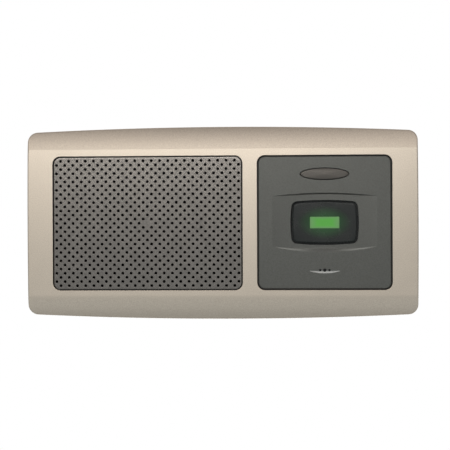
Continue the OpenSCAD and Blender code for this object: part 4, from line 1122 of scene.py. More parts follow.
def cell_border(s):
    """Outer line of the grid of cells, without its four corner cells."""
    columns, rows = grille_counts(s)
    half = s.inserts.step / 2
    x, y = 2 * columns + 1, 2 * rows + 1
    corners = [(x, y - 2), (x - 2, y - 2), (x - 2, y), (-x + 2, y), (-x + 2, y - 2), (-x, y - 2)]
    corners += [(-u, -v) for u, v in corners]
    line = []
    for (x0, y0), (x1, y1) in zip(corners, corners[1:] + corners[:1]):
        count = max(abs(x1 - x0), abs(y1 - y0))
        line += [(x0 + (x1 - x0) * k / count, y0 + (y1 - y0) * k / count) for k in range(count)]
    return [(u * half, v * half) for u, v in line]


def insert_side(bm, s, opening, edge, inset, corner, under):
    """Front edge, side, flange and hollow of an insert; gives the outlines of its front and its hollow."""
    f, n = s.frame, s.inserts
    top, flange_top = insert_face(s), ceiling(s)
    low, wide = flange_top - n.flange_thickness, n.gap + n.flange

    def outline(grow, radius):
        size = 2 * (grow - n.gap)
        return rounded(opening + size, f.opening_height + size, radius)

    side = [(-i, top - d) for i, d in round_over(edge)]
    side += [(0, flange_top), (wide, flange_top), (wide, low)]
    rows = [(outline(grow, f.opening_corner - n.gap + grow), level) for grow, level in side]
    hollow = outline(-inset, corner)
    loft(bm, rows + [(hollow, low), (hollow, under)])
    return rows[0][0], hollow


def grille_rim(s):
    """Edge, side wall and flange of the grille round its grid of cells."""
    n = s.inserts
    top, bottom = insert_face(s), insert_face(s) - n.skin
    bm = bmesh.new()
    front, hollow = insert_side(bm, s, s.frame.grille_opening, n.edge_round, n.rim, n.rim_corner, bottom)
    fill(bm, front, [cell_border(s)], top)
    fill(bm, hollow, [cell_border(s)], bottom)
    rim = close(bm, "speaker_grille")
    rim.data.shade_smooth()
    front = max(rim.data.polygons, key=lambda face: face.center.z)
    if front.normal.z < 0:
        rim.data.flip_normals()
    return rim


def start_tree(name, inputs):
    """New Geometry Nodes tree with named inputs; gives the tree, its input node and identifiers."""
    tree = bpy.data.node_groups.new(name, "GeometryNodeTree")
    tree.interface.new_socket("Geometry", in_out="OUTPUT", socket_type="NodeSocketGeometry")
    identifiers = {}
    for title, kind in {"Geometry": "Geometry", **inputs, "Finish": "Material"}.items():
        socket = tree.interface.new_socket(title, in_out="INPUT", socket_type="NodeSocket" + kind)
        identifiers[title] = socket.identifier
    return tree, add(tree, "NodeGroupInput").outputs, identifiers


def end_tree(tree, geometry, finish):
    """Ends a tree with its finish."""
    painted = {"Geometry": geometry, "Material": finish}
    done = add(tree, "GeometryNodeSetMaterial", inputs=painted).outputs["Geometry"]
    add(tree, "NodeGroupOutput", inputs={"Geometry": done})


def run_tree(obj, tree, identifiers, values):
    """Runs a tree on an object with its named inputs set, and keeps the mesh."""
    modifier = obj.modifiers.new(tree.name, "NODES")
    modifier.node_group = tree
    for title, value in values.items():
        modifier[identifiers[title]] = value
    settle(obj)


# Distance within which the cells' points are joined
CELL_WELD = 2e-6


def perforation_tree():
    """Cells on a square grid: a hole on every second point, the middle one closed, corners left out."""
    inputs = {"Step": "Float", "Width": "Float", "Height": "Float", "Columns": "Int", "Rows": "Int"}
    inputs.update({"Corner": "Int", "Hole cell": "Object", "Plain cell": "Object", "Middle": "Float"})
    tree, given, identifiers = start_tree("staggered_perforations", inputs)
    sizes = {"Size X": given["Width"], "Size Y": given["Height"]}
    sizes.update({"Vertices X": given["Columns"], "Vertices Y": given["Rows"]})
    grid = add(tree, "GeometryNodeMeshGrid", inputs=sizes).outputs["Mesh"]
    spot = {0: add(tree, "GeometryNodeInputPosition").outputs["Position"]}
    size = add(tree, "ShaderNodeVectorMath", {"operation": "ABSOLUTE"}, spot).outputs["Vector"]
    both = {0: size, 1: (1, 1, 0)}
    sums = {"run": add(tree, "ShaderNodeVectorMath", {"operation": "DOT_PRODUCT"}, both).outputs["Value"]}
    sums.update({"step": given["Step"], "corner": given["Corner"]})
    # A point's steps from the middle, along the columns and the rows, say what stands on it
    for name, operation, first, second in (
        ("steps", "DIVIDE", "run", "step"),
        ("away", "ROUND", "steps", 0),
        ("odd", "MODULO", "away", 2),
        ("middle", "LESS_THAN", "away", 0.5),
        ("closed", "MAXIMUM", "odd", "middle"),
        ("open", "LESS_THAN", "closed", 0.5),
        ("within", "LESS_THAN", "away", "corner"),
        ("plain", "MULTIPLY", "closed", "within"),
    ):
        terms = {0: sums[first], 1: sums.get(second, second)}
        sums[name] = add(tree, "ShaderNodeMath", {"operation": operation}, terms).outputs["Value"]
    pieces = [given["Geometry"]]
    for title, chosen in (("Hole cell", "open"), ("Plain cell", "plain")):
        shape = add(tree, "GeometryNodeObjectInfo", inputs={"Object": given[title]}).outputs["Geometry"]
        copies = {"Points": grid, "Selection": sums[chosen], "Instance": shape}
        pieces.append(add(tree, "GeometryNodeInstanceOnPoints", inputs=copies).outputs["Instances"])
    joined = add(tree, "GeometryNodeJoinGeometry", inputs={"Geometry": pieces}).outputs["Geometry"]
    real = add(tree, "GeometryNodeRealizeInstances", inputs={"Geometry": joined}).outputs["Geometry"]
    near = {"Geometry": real, "Distance": CELL_WELD}
    welded = add(tree, "GeometryNodeMergeByDistance", inputs=near).outputs["Geometry"]
    shift = add(tree, "ShaderNodeCombineXYZ", inputs={"X": given["Middle"]}).outputs["Vector"]
    upright = {"Geometry": welded, "Translation": shift, "Rotation": (math.pi / 2, 0, 0)}
    stood = add(tree, "GeometryNodeTransform", inputs=upright).outputs["Geometry"]
    end_tree(tree, stood, given["Finish"])
    return tree, identifiers


def build_grille(s, material):
    """Perforated skin from repeated cells, joined to its rim."""
    n = s.inserts
    top = insert_face(s)
    columns, rows = grille_counts(s)
    hole = cell_mesh("hole_cell", n.step, top, top - n.skin, n.hole, n.hole_round)
    plain = cell_mesh("plain_cell", n.step, top, top - n.skin, 0, 0)
    grille = grille_rim(s)
    values = {"Step": n.step, "Width": 2 * columns * n.step, "Height": 2 * rows * n.step}
    values.update({"Columns": 2 * columns + 1, "Rows": 2 * rows + 1, "Corner": columns + rows})
    values.update({"Hole cell": hole, "Plain cell": plain})
    values.update({"Middle": grille_middle(s.frame), "Finish": material})
    run_tree(grille, *perforation_tree(), values)
    for cell in (hole, plain):
        bpy.data.objects.remove(cell)
    soften(grille)
    return grille


# Slight waves of the cloth: their height, and their size across and up
CLOTH_WAVE = 0.03 * MM
CLOTH_WAVE_X = 3 * MM
CLOTH_WAVE_Y = 2.6 * MM
CLOTH_GRID = 2 * MM


def build_cloth(s):
    """Thin sheet of woven cloth that lies behind the perforated skin."""
    f, n = s.frame, s.inserts
    side = n.gap + n.wall + n.cloth_gap
    width, height = f.grille_opening - 2 * side, f.opening_height - 2 * side
    level = insert_face(s) - n.skin - n.cloth_drop
    columns, rows = (span(-size / 2, size / 2, CLOTH_GRID) for size in (width, height))

    def hang(x, y):
        return level + CLOTH_WAVE * math.sin(x / CLOTH_WAVE_X) * math.sin(y / CLOTH_WAVE_Y)

    bm = bmesh.new()
    grid = [(x, y) for y in rows for x in columns]
    fill(bm, rounded(width, height, f.opening_corner - side), [], hang, grid)
    cloth = close(bm, "grille_cloth")
    stand(cloth, grille_middle(f))
    cloth.data.shade_smooth()
    return cloth, (width, height)


# The dish's floor shoals towards its ends: sharply along the lower edge, sooner along the upper
DISH_POWER_LOW = 3.6
DISH_POWER_HIGH = 2.2
# Steepness of the lower ramp at the middle and at the ends, and how it changes between them
RAMP_MIDDLE = 0.6
RAMP_ENDS = 1.5
RAMP_POWER = 1.5
# Softening where the ramp meets the floor
DISH_SOFT = 0.12 * MM
# Outline of the scoop's lower edge, and the run of the step along its top
SCOOP_POWER = 0.8
SCOOP_STEP = 0.06 * MM


def scoop_top(p):
    """Level of the scoop's top edge on the panel."""
    return -p.mic_drop - p.scoop_drop


def panel_face(s):
    """Height of the panel's face with its dished band and the microphone scoop."""
    p = s.panel
    face = insert_face(s)

    def within(value):
        return min(max(value, 0), 1)

    def step(value):
        share = within(value)
        return share * share * (3 - 2 * share)

    def dish(x, y):
        beside = abs(x / p.dish_half)
        if beside >= 1:
            return 0.0
        share = within((y + p.dish_bottom) / (p.dish_top + p.dish_bottom))
        power = DISH_POWER_LOW + (DISH_POWER_HIGH - DISH_POWER_LOW) * share
        floor = p.dish_depth * (1 - beside**power)
        above = p.dish_top_radius - math.hypot(x, y - p.dish_top + p.dish_top_radius)
        below = p.dish_bottom_radius - math.hypot(x, y + p.dish_bottom - p.dish_bottom_radius)
        steep = RAMP_MIDDLE + (RAMP_ENDS - RAMP_MIDDLE) * beside**RAMP_POWER
        ramp = max(below, 0) * steep * p.dish_depth / p.dish_ramp
        mixed = max(DISH_SOFT - abs(floor - ramp), 0) / DISH_SOFT
        depth = min(floor, ramp) - mixed * mixed * DISH_SOFT / 4
        groove = max(1 - abs(above / p.dish_step - 1), 0) * p.dish_groove * floor / p.dish_depth
        return max(depth, 0) * step(above / p.dish_step) + groove

    def scoop(x, y):
        run = scoop_top(p) - y
        beside = 2 * x / p.scoop_width
        if run <= 0 or abs(beside) >= 1:
            return 0.0
        share = (1 - beside * beside) ** SCOOP_POWER - run / p.scoop_height
        return max(share, 0) * p.scoop_depth * step(run / SCOOP_STEP)

    return lambda x, y: face - dish(x, y) - scoop(x, y)


# Spacing of the points on the panel's face: columns and rows of the dish, rows along its edges
DISH_COLUMN = 0.9 * MM
DISH_ROW = 1.4 * MM
RAMP_ROW = 0.25 * MM
STEP_ROWS = 6
SCOOP_COLUMN = 0.3 * MM
# Widths of the close rows along the dish's lower and upper edges
RAMP_ZONE = 2.6 * MM
STEP_ZONE = 1.2 * MM


def panel_grid(s):
    """Inner points of the panel's face: close rows along the dish's edges and in the scoop."""
    p = s.panel
    points = []
    for x in span(-p.dish_half, p.dish_half, DISH_COLUMN):
        upper = p.dish_top - p.dish_top_radius + math.sqrt(p.dish_top_radius**2 - x * x)
        lower = p.dish_bottom_radius - p.dish_bottom - math.sqrt(p.dish_bottom_radius**2 - x * x)
        rows = [upper - k * p.dish_step / STEP_ROWS for k in range(-1, 15)]
        rows += [lower + k * RAMP_ROW for k in range(-1, 9)]
        rows += span(lower + RAMP_ZONE, upper - STEP_ZONE, DISH_ROW)
        points += [(x, y) for y in rows]
    end = p.scoop_width / 2 + SCOOP_COLUMN
    # Rows above and below the scoop's top edge in millimetres, closest over its step
    rows = [0.1, 0.03, 0, -0.015, -0.03, -0.045, -0.06, -0.12]
    rows += [-0.2 - 0.1 * k for k in range(12)]
    for x in span(-end, end, SCOOP_COLUMN):
        points += [(x, scoop_top(p) + y * MM) for y in rows]
    return points


# A face less deep than this is not in the scoop
LEAST_SINK = 0.01 * MM


def in_scoop(s, polygon):
    """True for the faces of the panel that make up the scoop's floor."""
    p, point = s.panel, polygon.center
    below = scoop_top(p) - point.z
    beside = abs(point.x - panel_middle(s.frame))
    sunk = insert_face(s) + point.y
    within = 0 < below < p.scoop_height and beside < p.scoop_width / 2
    return within and LEAST_SINK < sunk < p.scoop_depth and polygon.normal.y < -0.5


# Collar that holds the microphone's boot: its radii and depth
BOOT_INNER = 5.85 * MM
BOOT_OUTER = 7.05 * MM
BOOT_DEPTH = 2 * MM
# How far joined bodies reach into each other
BURY = 0.4 * MM


def build_panel(s):
    """Square panel with dish, scoop, button openings with collars, and a flange."""
    f, n, p, b = s.frame, s.inserts, s.panel, s.buttons
    face = panel_face(s)
    top, under = insert_face(s), insert_face(s) - p.thickness
    corner = f.opening_corner - n.gap

    def call_hole(grow):
        return call_outline(b, -b.call_gap - grow)

    def oval_hole(grow):
        gap = 2 * (b.oval_gap + grow)
        return oval(b.oval_width + gap, b.oval_height + gap, cy=b.oval_rise)

    bm = bmesh.new()
    front, hollow = insert_side(bm, s, f.panel_opening, p.edge_round, 2 * n.flange, corner, under)
    holes = [call_hole(p.hole_round), oval_hole(p.hole_round)]
    fill(bm, front, holes, face, panel_grid(s), margin=0.1 * MM)
    depths = ((call_hole, p.collar, p.collar_depth), (oval_hole, p.oval_collar, p.oval_collar_depth))
    for hole, collar, depth in depths:
        wall = [(grow, lowered(face, drop)) for grow, drop in round_over(p.hole_round)]
        wall += [(0, under - depth), (collar, under - depth), (collar, under)]
        loft(bm, [(hole(grow), level) for grow, level in wall])
    fill(bm, hollow, [call_hole(p.collar), oval_hole(p.oval_collar)], under)
    panel = close(bm, "control_panel")
    bm = bmesh.new()
    boot = [(r, under - BOOT_DEPTH) for r in (BOOT_INNER, BOOT_OUTER)]
    boot += [(r, under + BURY) for r in (BOOT_OUTER, BOOT_INNER)]
    revolve(bm, boot, 0, -p.mic_drop, 40)
    boolean(panel, close(bm, "boot_collar"), "UNION")
    bm = bmesh.new()
    for k in (-1, 0, 1):
        radius = (p.mic_side_hole if k else p.mic_hole) / 2
        turned(bm, [(radius, under - PAST), (radius, top + PAST)], k * p.mic_step, -p.mic_drop, 26)
    boolean(panel, close(bm, "microphone_holes"), "DIFFERENCE")
    stand(panel, panel_middle(f))
    soften(panel, 40)
    true_normals(panel, face, panel_middle(f))
    return panel


def cap_side(b, lip_top, lip, wall, under):
    """Steps of a cap's side below its front edge: how far out, and at what height."""
    lip_low = lip_top - b.lip
    return [(0, lip_top), (lip, lip_top), (lip, lip_low), (-wall, lip_low), (-wall, under)]


def finish_cap(cap, b, posts, top, steps, x, y):
    """Joins posts that press the switches to a cap and stands it in its place."""
    bm = bmesh.new()
    for post in posts:
        turned(bm, [(b.post / 2, b.foot), (b.post / 2, top)], post, 0, steps)
    boolean(cap, close(bm, "posts"), "UNION")
    stand(cap, x, y)
    soften(cap)
    return cap


# Call cap: room round the lens, easing of its opening, room in the light box and its wall
WINDOW_SLACK = 0.05 * MM
WINDOW_EASE = 0.12 * MM
LIGHT_BOX_ROOM = 0.2 * MM
LIGHT_BOX_WALL = 0.8 * MM


def build_call_button(s):
    """Call cap with its window opening, retaining lip, light box and two posts."""
    p, b = s.panel, s.buttons
    top = insert_face(s) - b.call_sink
    under = top - b.call_top
    lip_top = insert_face(s) - p.thickness - p.collar_depth - b.play
    room = b.window_flange + LIGHT_BOX_ROOM
    wall = room + LIGHT_BOX_WALL

    def window(grow):
        size = 2 * (WINDOW_SLACK + grow)
        return rounded(b.window_width + size, b.window_height + size, b.window_corner + grow)

    bm = bmesh.new()
    side = [(-inset, top - drop) for inset, drop in round_over(b.call_round, 5)]
    side += cap_side(b, lip_top, b.call_gap + b.lip_hold, b.call_wall, under)
    loft(bm, [(call_outline(b, -grow), level) for grow, level in side])
    box = [(grow, top - drop) for grow, drop in round_over(WINDOW_EASE, 3)]
    box += [(0, under), (room, under), (room, b.foot), (wall, b.foot), (wall, under)]
    loft(bm, [(window(grow), level) for grow, level in box])
    fill(bm, call_outline(b, b.call_round), [window(WINDOW_EASE)], top)
    fill(bm, call_outline(b, b.call_wall), [window(wall)], under)
    cap = close(bm, "call_button")
    post = b.window_width / 2 + wall + b.post / 2 - BURY
    return finish_cap(cap, b, (-post, post), under + b.call_top / 2, 24, panel_middle(s.frame), 0)


# Lens: its face behind the cap's face, the rounding of its edge and its least corner
LENS_SINK = 0.1 * MM
LENS_ROUND = 0.2 * MM
LENS_CORNER = 0.1 * MM


def build_window(s):
    """Lens of the call window with its flange behind the cap."""
    b = s.buttons
    cap = insert_face(s) - b.call_sink
    top, under = cap - LENS_SINK, cap - b.call_top
    low = under - b.window_flange_thickness

    def outline(grow):
        corner = max(b.window_corner + grow, LENS_CORNER)
        return rounded(b.window_width + 2 * grow, b.window_height + 2 * grow, corner)

    bm = bmesh.new()
    side = [(-inset, top - drop) for inset, drop in round_over(LENS_ROUND)]
    side += [(0, under), (b.window_flange, under), (b.window_flange, low)]
    capped(bm, [(outline(grow), level) for grow, level in side])
    lens = close(bm, "call_window")
    stand(lens, panel_middle(s.frame))
    soften(lens)
    return lens


# Oval cap: thickness of its wall and rounding of its front edge
OVAL_WALL = 1 * MM
OVAL_ROUND = 0.25 * MM


def build_oval(s):
    """Crowned oval cap with its lip, hollow and post."""
    p, b = s.panel, s.buttons
    crown = insert_face(s) + b.oval_crown
    under = insert_face(s) - b.call_sink - b.call_top
    lip_top = insert_face(s) - p.thickness - p.oval_collar_depth - b.play
    side_r = arc_radius(b.oval_height / 2, b.oval_side_drop)
    end_r = arc_radius(b.oval_width / 2, b.oval_end_drop)

    def dome(x, y):
        across = side_r - math.sqrt(side_r**2 - y * y)
        along = end_r - math.sqrt(end_r**2 - x * x)
        return crown - math.hypot(across, along)

    def outline(grow):
        return oval(b.oval_width + 2 * grow, b.oval_height + 2 * grow)

    bm = bmesh.new()
    side = [(-inset, lowered(dome, drop)) for inset, drop in round_over(OVAL_ROUND)]
    side += cap_side(b, lip_top, b.oval_gap + b.lip_hold, OVAL_WALL, under)
    loft(bm, [(outline(grow), level) for grow, level in side])
    grid = []
    for k in range(8):
        share = 0.9 - 0.12 * k
        grid += oval(b.oval_width * share, b.oval_height * share, 48)
    fill(bm, outline(-OVAL_ROUND), [], dome, grid, margin=0.05 * MM)
    fill(bm, outline(-OVAL_WALL), [], under)
    cap = close(bm, "oval_button")
    return finish_cap(cap, b, (0,), under + BURY, 30, panel_middle(s.frame), b.oval_rise)


# Pads round the wall box holes: their width and height
PAD_WIDTH = 3.5 * MM
PAD_HEIGHT = 1.5 * MM


def build_housing(s):
    """Rear housing: tray with wall fixings, cable hole, hook slots, knockouts and screw bosses."""
    f, h = s.frame, s.housing
    ease = HOUSING_EASE
    lap = f.skirt_wall + h.lap
    inner = lap + h.wall
    fixings = [(side * h.fixing_step / 2, 0) for side in (-1, 1)]
    hole, pad, pad_top = h.fixing / 2, h.fixing / 2 + PAD_WIDTH, h.back + PAD_HEIGHT
    seat = h.grommet + h.grommet_flange + SLACK
    bm = bmesh.new()
    side = [(lap + inset, drop) for inset, drop in round_over(h.edge_round)]
    side += [(lap + ease - inset, h.rim - drop) for inset, drop in reversed(round_over(ease, 2))]
    side += [(inner, h.rim), (inner, h.back)]
    loft(bm, [(frame_outline(f, inset), level) for inset, level in side])
    back_holes = [circle(hole + ease, 32, x, y) for x, y in fixings]
    floor_holes = [circle(pad, 32, x, y) for x, y in fixings]
    back_holes.append(circle(seat, 64, h.cable_x, h.cable_y))
    floor_holes.append(circle(h.grommet, 64, h.cable_x, h.cable_y))
    fill(bm, frame_outline(f, lap + h.edge_round), back_holes, 0)
    fill(bm, frame_outline(f, inner), floor_holes, h.back)
    profile = [(hole + ease, 0), (hole, ease), (hole, pad_top)]
    profile += [(pad - ease, pad_top), (pad, pad_top - ease), (pad, h.back)]
    for x, y in fixings:
        loft(bm, [(circle(r, 32, x, y), z) for r, z in profile])
    steps = [(seat, 0), (seat, h.grommet_lip), (h.grommet, h.grommet_lip), (h.grommet, h.back)]
    loft(bm, [(circle(r, 64, h.cable_x, h.cable_y), z) for r, z in steps])
    tray = close(bm, "rear_housing")
    boolean(tray, housing_bosses(s), "UNION")
    boolean(tray, housing_cutters(s), "DIFFERENCE")
    stand(tray)
    soften(tray)
    return tray


# Blocks round the inserts: half their width, their wall, their start behind the skirt's back edge,
# and their tops below the rim, which keeps the two faces apart
INSERT_HALF = 4 * MM
INSERT_WALL = 1.5 * MM
INSERT_START = 0.5 * MM
INSERT_TOP = 0.02 * MM


def housing_bosses(s):
    """Blocks in the lower wall that hold the threaded inserts."""
    f, h = s.frame, s.housing
    low, high = skirt_back(f) - INSERT_START, h.rim - INSERT_TOP
    deep = h.wall / 2 + h.insert + INSERT_WALL
    bm = bmesh.new()
    for x in (-h.screw_x, h.screw_x):
        y = -edge_at(f, x, f.skirt_wall + h.lap + h.wall / 2)
        block(bm, x - INSERT_HALF, x + INSERT_HALF, y, y + deep, low, high)
    return close(bm, "insert_bosses")


# Insert bores: how much wider than the screw, and the screw's room behind them
INSERT_GROW = 0.6 * MM
INSERT_ROOM = 1 * MM
# Thinned knockouts: half their width, and their tops behind the skirt's back edge
KNOCKOUT_HALF = 8 * MM
KNOCKOUT_DROP = 1.5 * MM


def housing_cutters(s):
    """Bores for the inserts, slots for the hooks and the two thinned knockouts."""
    f, h = s.frame, s.housing
    lap = f.skirt_wall + h.lap
    back = skirt_back(f)
    shank, bore = h.screw / 2 + SLACK, h.screw / 2 + INSERT_GROW
    start, end = lap + h.wall - PAST, lap + h.wall + h.insert
    profile = [(shank, 0), (shank, start), (bore, start), (bore, end)]
    profile += [(shank, end), (shank, end + INSERT_ROOM)]
    bm = bmesh.new()
    screw_bores(bm, s, profile)
    middle = (back + h.rim) / 2
    half, tall = h.hook_width / 2 + SLACK, h.hook_thickness / 2 + SLACK
    for x in (-h.hook_x, h.hook_x):
        y = edge_at(f, x, lap + 2 * h.wall)
        block(bm, x - half, x + half, y, y + 3 * h.wall, middle - tall, middle + tall)
    near = edge_at(f, h.cable_x, lap + h.wall / 2)
    x0, x1 = h.cable_x - KNOCKOUT_HALF, h.cable_x + KNOCKOUT_HALF
    for side in (-1, 1):
        y0, y1 = sorted((side * near, side * f.height / 2))
        block(bm, x0, x1, y0, y1, h.back, back - KNOCKOUT_DROP)
    return close(bm, "housing_cutters")


def soft_ring(inner, outer, base, top, ease, groove=()):
    """Closed profile of a ring with rounded edges, and a groove round its outer side."""
    edge = round_over(ease)
    profile = [(outer - i, base + d) for i, d in edge] + list(groove)
    profile += [(outer - i, top - d) for i, d in reversed(edge)]
    profile += [(inner + i, top - d) for i, d in edge]
    profile += [(inner + i, base + d) for i, d in reversed(edge)]
    return profile


def round_piece(name, profile, x, y, steps, degrees):
    """Finished ring on the wall from a closed profile."""
    bm = bmesh.new()
    revolve(bm, profile, x, y, steps)
    body = close(bm, name)
    stand(body)
    soften(body, degrees)
    return body


# Grommet: its neck inside the hole's edge, its base off the wall and the rounding of its lips
NECK_ROOM = 0.05 * MM
GROMMET_BASE = 0.1 * MM
GROMMET_EASE = 0.35 * MM


def build_grommet(s):
    """Rubber grommet in the cable hole, with rounded lips."""
    h = s.housing
    wide, neck = h.grommet + h.grommet_flange, h.grommet - NECK_ROOM
    groove = [(wide, h.grommet_lip), (neck, h.grommet_lip), (neck, h.back), (wide, h.back)]
    profile = soft_ring(h.cable / 2, wide, GROMMET_BASE, h.back + h.grommet_lip, GROMMET_EASE, groove)
    return round_piece("cable_grommet", profile, h.cable_x, h.cable_y, 64, 50)


# Thickness of the surround and the spider, and steps round the speaker's rings
FILM = 0.3 * MM
SPEAKER_STEPS = 72


def round_node(name):
    """Middle x, radius, base and top of a round CAD node."""
    low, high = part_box(name)
    return (low.x + high.x) / 2, (high.x - low.x) / 2, -high.y, -low.y


def film_ring(name, middle, path, degrees):
    """Ring of thin film along a path of radius and height."""
    profile = path + [(r, z + FILM) for r, z in reversed(path)]
    return round_piece(name, profile, middle, 0, SPEAKER_STEPS, degrees)


def wave_path(start, end, low, high, wave, halves, steps):
    """Path between two radii and two heights, with half waves across it."""
    shares = [k / steps for k in range(steps + 1)]
    radii = [start + (end - start) * share for share in shares]
    waves = [wave * math.sin(halves * math.pi * share) for share in shares]
    return [(r, low + (high - low) * share + w) for r, share, w in zip(radii, shares, waves)]


# Surround: the roll's edges inside its rim, the flat inside the roll and the roll's height
ROLL_START = 4.6 * MM
ROLL_END = 1.8 * MM
ROLL_FLAT = 1.4 * MM
ROLL_HEIGHT = 0.9 * MM
ROLL_STEPS = 16


def build_surround():
    """Half-roll rubber edge between the speaker's cone and its basket."""
    middle, outer, base, _ = round_node("speaker_surround")
    flange = -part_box("speaker_basket")[0].y
    start, end = outer - ROLL_START, outer - ROLL_END
    roll = wave_path(start, end, base, flange, ROLL_HEIGHT, 1, ROLL_STEPS)
    path = [(start - ROLL_FLAT, base)] + roll + [(outer, flange)]
    return film_ring("speaker_surround", middle, path, 50), flange, base


# Spider: gap round the coil, lift of its inner edge, its flat rim, the rim's rise and its waves
COIL_GAP = 0.05 * MM
SPIDER_LIFT = 0.25 * MM
SPIDER_RIM = 3 * MM
SPIDER_RISE = 0.55 * MM
SPIDER_WAVE = 0.25 * MM
SPIDER_HALF_WAVES = 6
SPIDER_STEPS = 48


def build_spider():
    """Corrugated cloth disc that centres the voice coil."""
    middle, outer, base, _ = round_node("speaker_spider")
    inner = round_node("voice_coil")[1] + COIL_GAP
    level = base + SPIDER_LIFT
    shelf = level + SPIDER_RISE
    flat = outer - SPIDER_RIM
    path = wave_path(inner, flat, level, shelf, -SPIDER_WAVE, SPIDER_HALF_WAVES, SPIDER_STEPS)
    return film_ring("speaker_spider", middle, path + [(outer, shelf)], 60), shelf, level


# Gasket: width of the foam ring and the rounding of its edges
GASKET_WIDTH = 2.45 * MM
GASKET_EASE = 0.6 * MM


def build_gasket():
    """Foam ring between the speaker's flange and the cloth."""
    middle, outer, base, top = round_node("speaker_gasket")
    profile = soft_ring(outer - GASKET_WIDTH, outer, base, top, GASKET_EASE)
    return round_piece("speaker_gasket", profile, middle, 0, SPEAKER_STEPS, 50)


# Diameter of the speaker leads
LEAD = 1.2 * MM


def lead_points(side):
    """Route of one speaker lead from its tag to the plug, in plan millimetres."""
    tag, pin = side * 2.5, side * 1.25
    return [
        (-6.8, tag, 14.2),
        (-4, tag, 14.2),
        (5.9, 7.3 + pin, 10.1),
        (15.75, 19 + pin, 7.15),
        (25.5, 22 + pin, 5.95),
        (30, 22 + pin, 5.95),
        (31.5, 22 + pin, 7.7),
        (31.5, 22 + pin, 9.3),
    ]


def build_lead(name, side):
    """One insulated lead as a smooth curve through its route."""
    route = [Vector(p) * MM for p in lead_points(side)]
    path = []
    for k in range(len(route) - 1):
        a, b, c, d = (route[min(max(k + n, 0), len(route) - 1)] for n in (-1, 0, 1, 2))
        for share in (0, 0.2, 0.4, 0.6, 0.8):
            even = 2 * b + (c - a) * share + (2 * a - 5 * b + 4 * c - d) * share**2
            path.append(0.5 * (even + (3 * b - a - 3 * c + d) * share**3))
    path.append(route[-1])
    curve = bpy.data.curves.new(name, "CURVE")
    curve.dimensions = "3D"
    curve.bevel_depth = LEAD / 2
    curve.bevel_resolution = 3
    curve.use_fill_caps = True
    spline = curve.splines.new("POLY")
    spline.points.add(len(path) - 1)
    for point, (x, y, z) in zip(spline.points, path):
        point.co = (x, -z, y, 1)
    total = sum((b - a).length for a, b in zip(path, path[1:]))
    x, y, z = path[0]
    return new_object(name, curve), total, (x, -z, y)


def screw_tree():
    """Screws instanced on the points of the input mesh."""
    tree, given, identifiers = start_tree("case_screws", {"Screw": "Object"})
    shape = add(tree, "GeometryNodeObjectInfo", inputs={"Object": given["Screw"]}).outputs["Geometry"]
    copies = {"Points": given["Geometry"], "Instance": shape}
    screws = add(tree, "GeometryNodeInstanceOnPoints", inputs=copies).outputs["Instances"]
    real = add(tree, "GeometryNodeRealizeInstances", inputs={"Geometry": screws}).outputs["Geometry"]
    end_tree(tree, real, given["Finish"])
    return tree, identifiers


# Case screws: bevel and edge of the head, bevel of the tip, and the room in front of it
HEAD_BEVEL = 0.25 * MM
HEAD_EDGE = 0.15 * MM
TIP_BEVEL = 0.4 * MM
TIP_ROOM = 0.5 * MM
# Cross recess: reach of its arms as a share of the head, half their width, depth and taper
CROSS_REACH = 0.55
CROSS_HALF = 0.35 * MM
CROSS_DEPTH = 0.8 * MM
CROSS_TAPER = 0.7


def case_screw(s):
    """One countersunk cross-head screw along z, its head at the skirt's face."""
    h = s.housing
    head, shank, sink = h.screw_head / 2, h.screw / 2, h.screw_sink
    total = s.frame.skirt_wall + h.lap + h.wall + h.insert - TIP_ROOM
    profile = [(head - HEAD_BEVEL, sink), (head, sink + HEAD_EDGE), (shank, sink + h.screw_head_depth)]
    profile += [(shank, total - TIP_BEVEL), (shank - TIP_BEVEL, total)]
    bm = bmesh.new()
    turned(bm, profile)
    screw = close(bm, "case_screw")
    arm, slot = head * CROSS_REACH, CROSS_HALF
    cross = [(arm, slot), (slot, slot), (slot, arm), (-slot, arm), (-slot, slot), (-arm, slot)]
    cross += [(-x, -y) for x, y in cross]
    foot = [(x * CROSS_TAPER, y * CROSS_TAPER) for x, y in cross]
    bm = bmesh.new()
    capped(bm, [(cross, -PAST), (foot, sink + CROSS_DEPTH)])
    boolean(screw, close(bm, "cross_recess"), "DIFFERENCE")
    return screw


def build_case_screws(s, material):
    """Two countersunk cross-head screws in the lower skirt."""
    screw = case_screw(s)
    screw.data.transform(UPRIGHT @ case_screw_turn(s, 0).to_quaternion().to_matrix().to_4x4())
    places = [UPRIGHT @ case_screw_turn(s, side * s.housing.screw_x) for side in (-1, 1)]
    mesh = bpy.data.meshes.new("case_screws")
    mesh.from_pydata([place.to_translation() for place in places], [], [])
    screws = new_object("case_screws", mesh)
    run_tree(screws, *screw_tree(), {"Screw": screw, "Finish": material})
    bpy.data.objects.remove(screw)
    soften(screws)
    return screws


# Operators


class INTERCOM_OT_front_frame(bpy.types.Operator):
    """Builds the champagne front frame"""

    bl_idname = "intercom.front_frame"
    bl_label = "Front frame"

    def execute(self, context):
        s = context.scene.intercom
        lacquer = champagne_lacquer(s.colours)
        finish_piece(build_front_frame(s), lacquer, "front_frame")
        return {"FINISHED"}


class INTERCOM_OT_grille(bpy.types.Operator):
    """Builds the perforated speaker grille and the cloth behind it"""

    bl_idname = "intercom.grille"
    bl_label = "Speaker grille"

    def execute(self, context):
        s = context.scene.intercom
        paint = grille_paint(s)
        finish_piece(build_grille(s, paint), paint, "speaker_grille")
        # Acoustic cloth: black plain weave, so the holes stay dark
        weave = woven("polyester_cloth_woven", "#0C0B0A", "#030303", thread=0.4, gloss=0.9)
        cloth, flat = build_cloth(s)
        finish_piece(cloth, weave, "grille_cloth")
        return {"FINISHED"}


